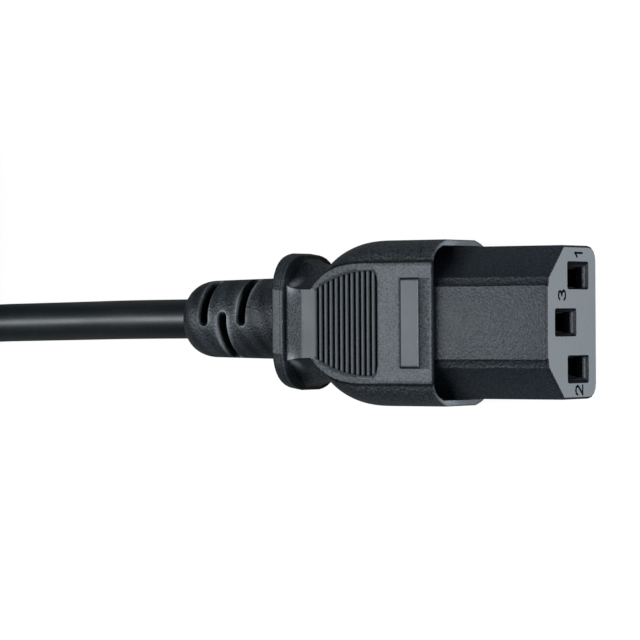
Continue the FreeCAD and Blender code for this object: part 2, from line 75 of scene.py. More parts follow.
class Finish(Enum):
    """The record's material slots."""

    MOULDING = "moulding"
    INSERT = "insert"
    JACKET = "jacket"
    CONTACT = "contact"
    PIN = "pin"
    STRANDS = "strands"
    LIVE = "core_live"
    NEUTRAL = "core_neutral"
    EARTH = "core_earth"
    TIE = "tie"


# Meshes


@dataclass
class Patch:
    """A piece of surface in millimetres.

    Attributes:
        points: one row of x, y, z per vertex.
        faces: vertex numbers of each face.
        grain: how much of the moulding's grain each vertex shows, 0 to 1.
        shade: what each vertex's colour is multiplied by up to 1, mostly painted shade; past 1 it turns into
            the colour of painted light.
    """

    points: np.ndarray
    faces: list
    grain: np.ndarray
    shade: np.ndarray


def joined(patches: list[Patch]) -> Patch:
    """Put several patches into one.

    Args:
        patches: the patches, in any order.

    Returns:
        One patch with all their faces.
    """
    faces, start = [], 0
    for patch in patches:
        faces += [[start + i for i in face] for face in patch.faces]
        start += len(patch.points)
    columns = [(patch.points, patch.grain, patch.shade) for patch in patches]
    points, grain, shade = (np.concatenate(column) for column in zip(*columns))
    return Patch(points, faces, grain, shade)


def skin(rings: np.ndarray, grain: Values, caps: tuple[bool, bool], shade: Values = 1.0) -> Patch:
    """Stretch a surface over a stack of closed rings: quads between equal points of neighbouring rings.

    Args:
        rings: rings by points by x, y, z.
        grain: one value, or one per ring and point.
        caps: whether the first and the last ring are closed.
        shade: one value, or one per ring and point.

    Returns:
        The patch.
    """
    count, size = rings.shape[:2]
    first = np.arange(count - 1)[:, None] * size
    here = np.arange(size)[None, :]
    after = (here + 1) % size
    quads = np.stack([first + here, first + after, first + size + after, first + size + here], axis=-1)
    faces = quads.reshape(-1, 4).tolist()
    if caps[0]:
        faces.append(list(range(size))[::-1])
    if caps[1]:
        faces.append(list(range((count - 1) * size, count * size)))
    grains, shades = (np.broadcast_to(value, (count, size)).ravel() for value in (grain, shade))
    return Patch(rings.reshape(-1, 3).copy(), faces, grains, shades)


def rounded_loop(corners: np.ndarray, radii: np.ndarray) -> np.ndarray:
    """Round the corners of a closed outline: each turns into an arc that touches both its sides.

    Args:
        corners: outline points, one row of y, z each.
        radii: radius at each point.

    Returns:
        The rounded outline, one row of y, z per point.
    """
    before, after = np.roll(corners, 1, axis=0) - corners, np.roll(corners, -1, axis=0) - corners
    before /= np.linalg.norm(before, axis=1, keepdims=True)
    after /= np.linalg.norm(after, axis=1, keepdims=True)
    half = np.arccos(np.clip((before * after).sum(axis=1), -1, 1)) / 2
    reach = (radii / np.tan(half))[:, None]
    start, end = corners + before * reach, corners + after * reach
    t = np.linspace(0, 1, CORNER_STEPS)[None, :, None]
    # A circular arc written as a rational quadratic curve
    weight = np.sin(half)[:, None, None]
    blend = (1 - t) ** 2 + 2 * t * (1 - t) * weight + t**2
    bent = (1 - t) ** 2 * start[:, None] + 2 * t * (1 - t) * weight * corners[:, None] + t**2 * end[:, None]
    return (bent / blend).reshape(-1, 2)


def rectangle_loop(y: float, z: float, width: float, height: float, corner: float) -> np.ndarray:
    """Outline of a rounded rectangle about y, z, one row of y, z per point."""
    signs = np.array([(1, 1), (1, -1), (-1, -1), (-1, 1)], dtype=float)
    return rounded_loop(signs * (width / 2, height / 2) + (y, z), np.full(4, corner))


def inset(loop: np.ndarray, amount: float) -> np.ndarray:
    """Move an outline inwards along its normals, which stand across the line between its neighbours.

    Args:
        loop: one row of y, z per point, clockwise seen from +X.
        amount: the distance, in millimetres.

    Returns:
        The moved outline.
    """
    along = np.roll(loop, -1, axis=0) - np.roll(loop, 1, axis=0)
    along /= np.maximum(np.linalg.norm(along, axis=1, keepdims=True), 1e-9)
    return loop + amount * np.stack([along[:, 1], -along[:, 0]], axis=1)


def at(x: float, loop: np.ndarray) -> np.ndarray:
    """Stand an outline across X, one row of x, y, z per point."""
    return np.column_stack([np.full(len(loop), x), loop])


def smooth_step(low: float, high: float, value: Values) -> np.ndarray:
    """Rise from 0 to 1 between two values, level at both ends."""
    t = np.clip((np.asarray(value, dtype=float) - low) / (high - low), 0, 1)
    return t * t * (3 - 2 * t)


def linked(name: str, data: bpy.types.ID) -> Piece:
    """Make an object of some data and put it into the scene.

    Args:
        name: the object's name.
        data: its mesh, curve, camera or lamp.

    Returns:
        The object.
    """
    made = bpy.data.objects.new(name, data)
    bpy.context.scene.collection.objects.link(made)
    return made


def make_piece(name: str, patch: Patch, finish: Finish, nodes: list[str], sharp: float = 34.0) -> Piece:
    """Make a mesh object that stands for some nodes of the frame.

    Args:
        name: the object's name.
        patch: its surface, already in the row frame.
        finish: its material slot.
        nodes: the nodes it replaces.
        sharp: the angle above which an edge is drawn sharp, in degrees.

    Returns:
        The object, riding on the root body.
    """
    mesh = bpy.data.meshes.new(name)
    mesh.from_pydata((patch.points * MM).tolist(), [], patch.faces)
    mesh.validate()
    for key, values in (("grain", patch.grain), ("shade", patch.shade)):
        layer = mesh.attributes.new(key, "FLOAT", "POINT")
        layer.data.foreach_set("value", values.astype(np.float32))
    mesh.shade_smooth()
    mesh.set_sharp_from_angle(angle=math.radians(sharp))
    mesh.materials.append(MATERIALS[finish])
    piece = linked(name, mesh)
    if nodes:
        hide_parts(*nodes)
    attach(piece, "root")
    LOG.info("%s: %d faces for %s", name, len(patch.faces), ", ".join(nodes) or "no node")
    return piece


# Materials


class NodeTree:
    """A thin wrapper that adds nodes to a tree and links them in one call."""

    def __init__(self, tree: bpy.types.NodeTree) -> None:
        """Take a tree and empty it."""
        self.tree = tree
        tree.nodes.clear()

    def add(self, kind: str, inputs: dict | None = None, **settings: object) -> bpy.types.Node:
        """Add one node.

        Args:
            kind: the node's type name.
            inputs: socket name or number to a value or to an output socket.
            settings: attributes of the node.

        Returns:
            The new node.
        """
        node = self.tree.nodes.new(kind)
        for key, value in settings.items():
            setattr(node, key, value)
        for key, value in (inputs or {}).items():
            if isinstance(value, Socket):
                self.tree.links.new(value, node.inputs[key])
            else:
                node.inputs[key].default_value = value
        return node

    def maths(self, operation: str, a: object, b: object, clamp: bool = False) -> Socket:
        """Add a Math node of two values or sockets and return its output."""
        return self.add("ShaderNodeMath", {0: a, 1: b}, operation=operation, use_clamp=clamp).outputs[0]

    def mix(self, factor: Socket, a: object, b: Colour) -> Socket:
        """Mix a colour or a socket with a second colour and return the output."""
        first = a if isinstance(a, Socket) else (*a, 1.0)
        # The colour sockets share their names with the value sockets, so they are set by position
        return self.add("ShaderNodeMix", {0: factor, 6: first, 7: (*b, 1.0)}, data_type="RGBA").outputs[2]

    def spread(self, value: Socket, low: float, high: float, start: float = 0.0, end: float = 1.0) -> Socket:
        """Carry the range from start to end over to the range from low to high."""
        span = {"Value": value, "From Min": start, "From Max": end, "To Min": low, "To Max": high}
        return self.add("ShaderNodeMapRange", span).outputs[0]

    def backdrop(self, glossy: float) -> Socket:
        """Value of the white surroundings for each ray.

        Args:
            glossy: the value in reflections.

        Returns:
            1 for rays from the camera, also through something, that value in reflections, otherwise 0.
        """
        path = self.add("ShaderNodeLightPath").outputs
        seen = self.maths("MAXIMUM", path["Is Camera Ray"], path["Is Transmission Ray"])
        return self.maths("MAXIMUM", seen, self.maths("MULTIPLY", path["Is Glossy Ray"], glossy))

    def surface(self, bump: dict, **inputs: object) -> None:
        """Add the bump, the shader and the output.

        Args:
            bump: the Bump node's inputs.
            inputs: the shader's inputs, with underscores for spaces.
        """
        values = {key.replace("_", " "): value for key, value in inputs.items()}
        values["Normal"] = self.add("ShaderNodeBump", bump).outputs[0]
        shader = self.add("ShaderNodeBsdfPrincipled", values)
        self.add("ShaderNodeOutputMaterial", {"Surface": shader.outputs[0]})


def new_material(name: str) -> tuple[bpy.types.Material, NodeTree]:
    """Make an empty material.

    Args:
        name: its name.

    Returns:
        The material and the wrapper of its tree.
    """
    material = bpy.data.materials.new(name)
    material.use_nodes = True
    return material, NodeTree(material.node_tree)


def grain_group() -> bpy.types.NodeTree:
    """Make the group for the fine grain of a moulded surface.

    Returns:
        A group with the grain's height, its speckle for the colour, and slow cloudy variation.
    """
    group = bpy.data.node_groups.new("mould_grain", "ShaderNodeTree")
    group.interface.new_socket("Scale", in_out="INPUT", socket_type="NodeSocketFloat")
    for name in ("Height", "Speckle", "Cloud"):
        group.interface.new_socket(name, in_out="OUTPUT", socket_type="NodeSocketFloat")
    kit = NodeTree(group)
    place = kit.add("ShaderNodeTexCoord").outputs["Object"]
    scale = kit.add("NodeGroupInput").outputs["Scale"]
    pit_scale, cloud_scale = kit.maths("MULTIPLY", scale, 0.8), kit.maths("MULTIPLY", scale, 0.06)
    noise = {"Vector": place, "Scale": scale, "Detail": 3.0, "Roughness": 0.6}
    fine = kit.add("ShaderNodeTexNoise", noise).outputs[0]
    cells = kit.add("ShaderNodeTexVoronoi", {"Vector": place, "Scale": pit_scale})
    cloud = kit.add("ShaderNodeTexNoise", {"Vector": place, "Scale": cloud_scale, "Detail": 2.0}).outputs[0]
    height = kit.maths("ADD", fine, kit.maths("MULTIPLY", cells.outputs["Distance"], 0.6))
    speckle = kit.spread(fine, 0.0, 1.0, 0.4, 0.6)
    kit.add("NodeGroupOutput", {"Height": height, "Speckle": speckle, "Cloud": cloud})
    return group


@dataclass(frozen=True)
class PlasticLook:
    """How one plastic looks.

    Attributes:
        dark, light: colour in its pits and on its high spots.
        roughness: mean roughness.
        bump: strength of the grain's bump.
        grain_scale: grains per metre.
        level: specular level.
        even: whether the piece has no attributes and shows the grain all over.
        painted_light: colour of painted light, where the shade attribute goes past 1, in full at 2.
    """

    dark: Colour
    light: Colour
    roughness: float
    bump: float
    grain_scale: float
    level: float = 0.5
    even: bool = False
    painted_light: Colour = (0.155, 0.166, 0.174)


@dataclass(frozen=True)
class MetalLook:
    """How one metal looks.

    Attributes:
        dark, light: colour where it is tarnished and where it is clean.
        roughness: mean roughness.
        line_scale: drawing lines per metre across the piece.
    """

    dark: Colour
    light: Colour
    roughness: float
    line_scale: float


LOOKS = {
    Finish.MOULDING: PlasticLook(
        (0.007, 0.011, 0.014), (0.048, 0.057, 0.066), 0.44, 0.9, 2900.0, painted_light=(0.34, 0.36, 0.38)
    ),
    Finish.INSERT: PlasticLook((0.005, 0.009, 0.013), (0.021, 0.027, 0.035), 0.46, 0.7, 2900.0),
    Finish.JACKET: PlasticLook((0.005, 0.008, 0.010), (0.008, 0.012, 0.014), 0.37, 0.04, 1800.0, even=True),
    Finish.TIE: PlasticLook((0.010, 0.010, 0.010), (0.022, 0.022, 0.022), 0.35, 0.05, 2200.0, even=True),
    Finish.LIVE: PlasticLook((0.10, 0.035, 0.012), (0.14, 0.05, 0.02), 0.4, 0.04, 2000.0, even=True),
    Finish.NEUTRAL: PlasticLook((0.01, 0.06, 0.28), (0.02, 0.09, 0.36), 0.4, 0.04, 2000.0, even=True),
    Finish.EARTH: PlasticLook((0.10, 0.28, 0.02), (0.55, 0.50, 0.03), 0.4, 0.04, 300.0, even=True),
    # The contacts' colours are far darker than brass: painted shade, as they sit deep in their cells
    Finish.CONTACT: MetalLook((0.04, 0.034, 0.024), (0.085, 0.073, 0.052), 0.5, 2500.0),
    Finish.PIN: MetalLook((0.45, 0.44, 0.42), (0.74, 0.73, 0.70), 0.22, 2500.0),
    Finish.STRANDS: MetalLook((0.40, 0.16, 0.07), (0.80, 0.40, 0.22), 0.30, 4000.0),
}


def plastic_material(name: str, look: PlasticLook, group: bpy.types.NodeTree) -> bpy.types.Material:
    """Make a plastic: speckled colour, then the shade attribute, with the grain as bump.

    Args:
        name: the material's name.
        look: its colours and surface.
        group: the grain group.

    Returns:
        The material.
    """
    material, kit = new_material(name)
    grain = kit.add("ShaderNodeGroup", {"Scale": look.grain_scale}, node_tree=group).outputs
    amount = 1.0 if look.even else kit.add("ShaderNodeAttribute", attribute_name="grain").outputs["Fac"]
    speckle, level = kit.maths("MULTIPLY", grain["Speckle"], amount), look.level
    if not look.even:
        # Where there is no grain the colour is that of a speckle's mean
        plain = kit.maths("MULTIPLY", kit.maths("SUBTRACT", 1.0, amount), 0.62)
        speckle = kit.maths("ADD", speckle, plain)
    colour = kit.mix(speckle, look.dark, look.light)
    if not look.even:
        shade = kit.add("ShaderNodeAttribute", attribute_name="shade").outputs["Fac"]
        below = kit.maths("MINIMUM", shade, 1.0)
        # A shaded place, deep in a slit or a socket, reflects less as well
        level = kit.maths("MULTIPLY", below, look.level)
        shaded = kit.add("ShaderNodeVectorMath", {0: colour, "Scale": below}, operation="SCALE").outputs[0]
        # Past 1 the shade attribute mixes in the colour of painted light
        colour = kit.mix(kit.maths("SUBTRACT", shade, 1.0, clamp=True), shaded, look.painted_light)
    rough = kit.spread(grain["Cloud"], look.roughness - 0.05, look.roughness + 0.07)
    height = kit.maths("MULTIPLY", grain["Height"], amount)
    bump = {"Strength": look.bump, "Distance": 0.00014, "Height": height}
    kit.surface(bump, Base_Color=colour, Roughness=rough, Specular_IOR_Level=level)
    return material


def metal_material(name: str, look: MetalLook, group: bpy.types.NodeTree) -> bpy.types.Material:
    """Make a metal with faint drawing lines along X.

    Args:
        name: the material's name.
        look: its colours and surface.
        group: the grain group.

    Returns:
        The material.
    """
    material, kit = new_material(name)
    place = kit.add("ShaderNodeTexCoord").outputs["Object"]
    along = kit.add("ShaderNodeMapping", {"Vector": place, "Scale": (0.03, 1.0, 1.0)}).outputs[0]
    noise = {"Vector": along, "Scale": look.line_scale, "Detail": 2.0}
    lines = kit.add("ShaderNodeTexNoise", noise).outputs[0]
    cloud = kit.add("ShaderNodeGroup", {"Scale": 900.0}, node_tree=group).outputs["Cloud"]
    colour = kit.mix(cloud, look.dark, look.light)
    rough = kit.spread(lines, look.roughness - 0.08, look.roughness + 0.12)
    bump = {"Strength": 0.1, "Distance": 0.00002, "Height": lines}
    kit.surface(bump, Base_Color=colour, Metallic=1.0, Roughness=rough)
    return material


def make_materials() -> dict[Finish, bpy.types.Material]:
    """Make every finish of the part.

    Returns:
        The materials, by finish.
    """
    group = grain_group()
    made = {}
    for finish, look in LOOKS.items():
        maker = metal_material if isinstance(look, MetalLook) else plastic_material
        made[finish] = maker(finish.value, look, group)
        LOG.info("material %s", finish.value)
    return made


MATERIALS = make_materials()


# Moulded ends


@dataclass(frozen=True)
class EndPlace:
    """Where one moulded end stands in the row frame.

    Attributes:
        side: which way it faces.
        face_x: x of its mating face.
        axis_z: height of its axis.
    """

    side: Side
    face_x: float
    axis_z: float

    def placed(self, patch: Patch) -> Patch:
        """Carry a patch from the end's own frame, face at x = 0 and body towards -X, to its place."""
        turn = (self.side.value, self.side.value, 1)
        return replace(patch, points=patch.points * turn + (self.face_x, 0.0, self.axis_z))


@dataclass(frozen=True)
class GripShape:
    """Outer shape of one overmoulding, in its own frame.

    Attributes:
        width, height, flat: size of the straight grip, and width of its flat top.
        pocket: whether a pocket runs round the nose.
        straight: length of even width behind the front.
        shoulder_length: length over which it narrows to the neck.
        shoulder_power, flat_power: how late its sides and its flat top narrow.
        corner_drop: how far the corners reach down the sides.
        neck_width, neck_flat: width of the neck and of its flat top.
        neck_ramp, neck_drop: length and height of the slope from the neck down to the flange.
        flare: how far the neck's sides turn out again to the flange.
        bow, neck_bow: where a corner's middle lies across and upwards, as shares of its size.
        hollow: how much further the corners reach down at the neck.
        flange_front, flange_width, flange_height, flange_corner, flange_thickness: the flange.
    """

    width: float
    height: float
    flat: float = 19.2
    pocket: bool = True
    front_x: float = -20.0
    straight: float = 10.0
    shoulder_length: float = 12.85
    shoulder_power: float = 2.5
    flat_power: float = 4.0
    corner_drop: float = 4.5
    neck_width: float = 18.4
    neck_flat: float = 11.0
    neck_ramp: float = 4.3
    neck_drop: float = 1.4
    flare: float = 1.7
    bow: tuple[float, float] = (0.62, 0.74)
    neck_bow: tuple[float, float] = (0.46, 0.43)
    hollow: float = 1.0
    flange_front: float = -48.6
    flange_width: float = 22.1
    flange_height: float = 17.0
    flange_corner: float = 5.9
    flange_thickness: float = 2.3

    def outline(self, x: np.ndarray) -> Rings:
        """Half sizes of the grip at each x.

        The shoulder narrows by a power of the run along it, and the neck flares like a quarter circle.

        Args:
            x: places along the grip, from its front to the flange.

        Returns:
            Half width, half flat, half height, corner drop and corner bow, by the names of RingStack.add.
        """
        t = np.clip((self.front_x - self.straight - x) / self.shoulder_length, 0, 1)
        wide = self.neck_width + (self.width - self.neck_width) * (1 - t**self.shoulder_power)
        flat = self.neck_flat + (self.flat - self.neck_flat) * (1 - t**self.flat_power)
        neck_x = self.front_x - self.straight - self.shoulder_length
        run = np.clip((neck_x - x) / (neck_x - self.flange_front), 0, 1)
        out = 2 * self.flare * (1 - np.sqrt(1 - run**2))
        drop = self.neck_drop * np.clip((self.flange_front + self.neck_ramp - x) / self.neck_ramp, 0, 1)
        # The corners turn hollow towards the neck
        late = t**3
        return {
            "wide": (wide + out) / 2,
            "flat": (flat + out / 2) / 2,
            "high": self.height / 2 - drop,
            "drop": self.corner_drop + self.hollow * late,
            "bow_y": self.bow[0] + (self.neck_bow[0] - self.bow[0]) * late,
            "bow_z": self.bow[1] + (self.neck_bow[1] - self.bow[1]) * late,
        }


@dataclass(frozen=True)
class RibField:
    """The ribbed field on top of and below the grip.

    Attributes:
        front, length: its front, behind the grip's front, and its length.
        count: number of ribs.
        half_front, half_rear, bow: half its width at both ends, and how far its sides bow out.
        depth, gap_share: depth of the gaps between the ribs, and their share of each pitch.
        corner: radius of its front corners.
    """

    front: float = 10.2
    length: float = 12.0
    count: int = 12
    half_front: float = 8.3
    half_rear: float = 5.35
    bow: float = 1.3
    depth: float = 0.6
    gap_share: float = 0.56
    corner: float = 1.4

    def half_width(self, run: np.ndarray) -> np.ndarray:
        """Half the field's width: a square curve with a bow, less a circle at the front corners.

        Args:
            run: distance behind the field's front.

        Returns:
            The half width there.
        """
        share = np.clip(run / self.length, 0, 1)
        half = self.half_front + (self.half_rear - self.half_front) * share**2
        half = half + self.bow * share * (1 - share)
        near = np.clip(self.corner - run, 0, self.corner)
        return half - (self.corner - np.sqrt(self.corner**2 - near**2))

    def stations(self) -> tuple[np.ndarray, np.ndarray]:
        """Places along the field and how deep the surface lies there.

        Returns:
            Distances behind the front, and depths as a share of the full depth.
        """
        pitch = self.length / self.count
        gap = pitch * self.gap_share
        wall, fall = np.array([0.0, 0.05, 0.13, 0.22]), [0.06, 0.35, 0.88, 1.0]
        runs = np.concatenate([wall, gap - wall[::-1], [gap + 0.06, gap + 0.25]])
        deep = np.array(fall + fall[::-1] + [0.0, -0.04])
        all_runs = (np.arange(self.count)[:, None] * pitch + runs[None, :]).reshape(-1)
        return all_runs, np.tile(deep, self.count)


# Corners shaped like a quarter of a circle or an ellipse
ROUND_BOW = {"bow_y": math.sqrt(0.5), "bow_z": math.sqrt(0.5)}
RING_DEFAULTS = {"lift": 0.0, "low": 0.0, "bow_y": 0.62, "bow_z": 0.74}
RING_DEFAULTS |= {"grain": 1.0, "inner": 1.0, "pad": 0.0, "tone": 1.0}
# Further from the axis than this a point with an inner place lies on the flat top or underside
TOP_LEVEL = 6.0


@dataclass
class RingStack:
    """The rings of a moulding's skin, from the front to the rear.

    Attributes:
        parts: groups of rings, each a dictionary of equally long arrays.
    """

    parts: list[Rings] = field(default_factory=list)

    def add(
        self, x: Values, wide: Values, flat: Values, high: Values, drop: Values, line: Values, **more: Values
    ) -> None:
        """Add rings; every value is one number or one per ring.

        Args:
            x: place of each ring.
            wide, flat, high: half its width, half the width of its flat top, half its height.
            drop: how far its corners reach down the sides.
            line: half the width of the inner field, which can stand up or lie deeper.
            more: what differs from RING_DEFAULTS: lift of that field on top and low underneath, bow of the
                corners, grain, painted shade and light of the field (inner) and of the ring (tone),
                and pad, 1 on the pad.
        """
        places = np.atleast_1d(np.asarray(x, dtype=float))
        values = {"x": places, "wide": wide, "flat": flat, "high": high, "drop": drop, "line": line}
        values.update({**RING_DEFAULTS, **more})
        arrays = {key: np.broadcast_to(np.array(v, float), places.shape) for key, v in values.items()}
        self.parts.append(arrays)

    def columns(self) -> Rings:
        """All rings' values, one column per name."""
        return {key: np.concatenate([part[key] for part in self.parts])[:, None] for key in self.parts[0]}


@dataclass(frozen=True)
class Relief:
    """The slit strain relief, a round sleeve behind the flange.

    Attributes:
        end: x of its end.
        nose, tip_drop: length over which the end is rounded, and how much thinner its tip is.
        end_radius, root_radius: radius ahead of the rounding and at the flange.
        slit_count, slit_first, slit_pitch: rows of slits, the first one's distance from the end, their pitch.
        slit_width, slit_floor: width of a slit along X, and radius of its floor.
        slit_turn, slit_reach: where its middle lies and half its length, in degrees round the sleeve.
        bore: radius of the bore.
        size: number of points of a ring.
    """

    end: float = -71.3
    nose: float = 4.3
    tip_drop: float = 2.6
    end_radius: float = 6.4
    root_radius: float = 6.75
    slit_count: int = 3
    slit_first: float = 4.5
    slit_pitch: float = 3.8
    slit_width: float = 1.9
    slit_floor: float = 4.1
    slit_turn: float = 36.0
    slit_reach: float = 45.0
    bore: float = 3.36
    size: int = 240

    def slits(self) -> list[tuple[float, int]]:
        """Rear edge of each row of slits, and the side to which it is turned."""
        first = self.end + self.slit_first
        return [(first + self.slit_pitch * i, 1 - 2 * (i % 2)) for i in range(self.slit_count)]

    def stations(self, root: float) -> np.ndarray:
        """Places of the rings, closer together at the slits' edges and at the end.

        Args:
            root: x of the flange's rear.

        Returns:
            The places, from the flange to the end.
        """
        edge = np.array([-0.14, -0.03, 0.03, 0.1, 0.22, 0.38, 0.6])
        near = [np.concatenate([x0 + edge, x0 + self.slit_width - edge[::-1]]) for x0, _ in self.slits()]
        body = np.linspace(root + 0.9, self.end + self.nose + 0.2, 24)
        tip = [4.0, 3.6, 3.2, 2.8, 2.4, 2.0, 1.6, 1.2, 0.8, 0.45, 0.2, 0.06, 0.0]
        return np.sort(np.concatenate([body, *near, self.end + np.array(tip)]))[::-1]

    def cuts(self, x: np.ndarray, away: np.ndarray) -> tuple[np.ndarray, np.ndarray]:
        """How deep the slits are cut, with round ends, and how near a point lies to a slit's edge.

        Args:
            x: place of each ring.
            away: angle of each point from the top, in degrees.

        Returns:
            Depth and nearness, both from 0 to 1, per ring and point.
        """
        cut = np.zeros((len(x), away.shape[1]))
        lip = np.zeros_like(cut)
        half = self.slit_width / 2
        for x0, side in self.slits():
            off_x = np.abs(x - x0 - half)
            along = smooth_step(-0.03, 0.09, half - off_x)
            beside = smooth_step(-0.4, -0.15, half - off_x)
            reach = self.slit_reach - 8.0 * (1 - np.sqrt(1 - np.clip(off_x / half, 0, 1) ** 2))
            for middle in (self.slit_turn * side, self.slit_turn * side + 180.0):
                left = reach[:, None] - np.abs((away - middle + 180.0) % 360.0 - 180.0)
                cut = np.maximum(cut, along[:, None] * smooth_step(-1.6, 1.6, left))
                lip = np.maximum(lip, beside[:, None] * smooth_step(-6.0, -3.0, left))
        return cut, lip

    def patch(self, root: float) -> Patch:
        """Skin of the sleeve: a cone whose end is rounded like a quarter of an ellipse.

        Args:
            root: x of the flange's rear.

        Returns:
            One closed patch in the end's own frame.
        """
        x = self.stations(root)[:, None]
        angle = np.linspace(0, 2 * math.pi, self.size, endpoint=False)[None, :]
        cut, lip = self.cuts(x[:, 0], np.degrees(angle))
        into = np.clip((self.end + self.nose - x) / self.nose, 0, 1)
        radius = np.interp(x, [self.end + self.nose, root], [self.end_radius, self.root_radius])
        radius = (radius - self.tip_drop * (1 - np.sqrt(1 - into**2))) * (1 - cut) + self.slit_floor * cut
        # The mouth of the bore is rounded over
        mouth_x = self.end + np.array([[0.0], [0.06], [0.3], [14.0]])
        mouth = self.bore + np.array([[0.26], [0.09], [0.0], [0.0]]) + 0 * angle
        r = np.concatenate([radius, mouth])
        places = np.broadcast_to(np.concatenate([x, mouth_x]), r.shape)
        rings = np.stack([places, r * np.sin(angle), r * np.cos(angle)], axis=-1)
        # Slow patches of darker and lighter tone on a darker sleeve, painted shade in the slits and in the
        # bore's mouth, and a painted highlight along each slit's edge
        patches = np.sin(1.1 * x + 1.3 * np.sin(2 * angle)) * np.sin(3 * angle + 0.8 * x + 0.5)
        outside = (0.68 + 0.34 * patches) * (1.0 - 0.75 * cut) + 0.5 * lip * (1 - cut) ** 2
        return skin(rings, 0.8, (True, True), np.concatenate([outside, np.full(mouth.shape, 0.3)]))


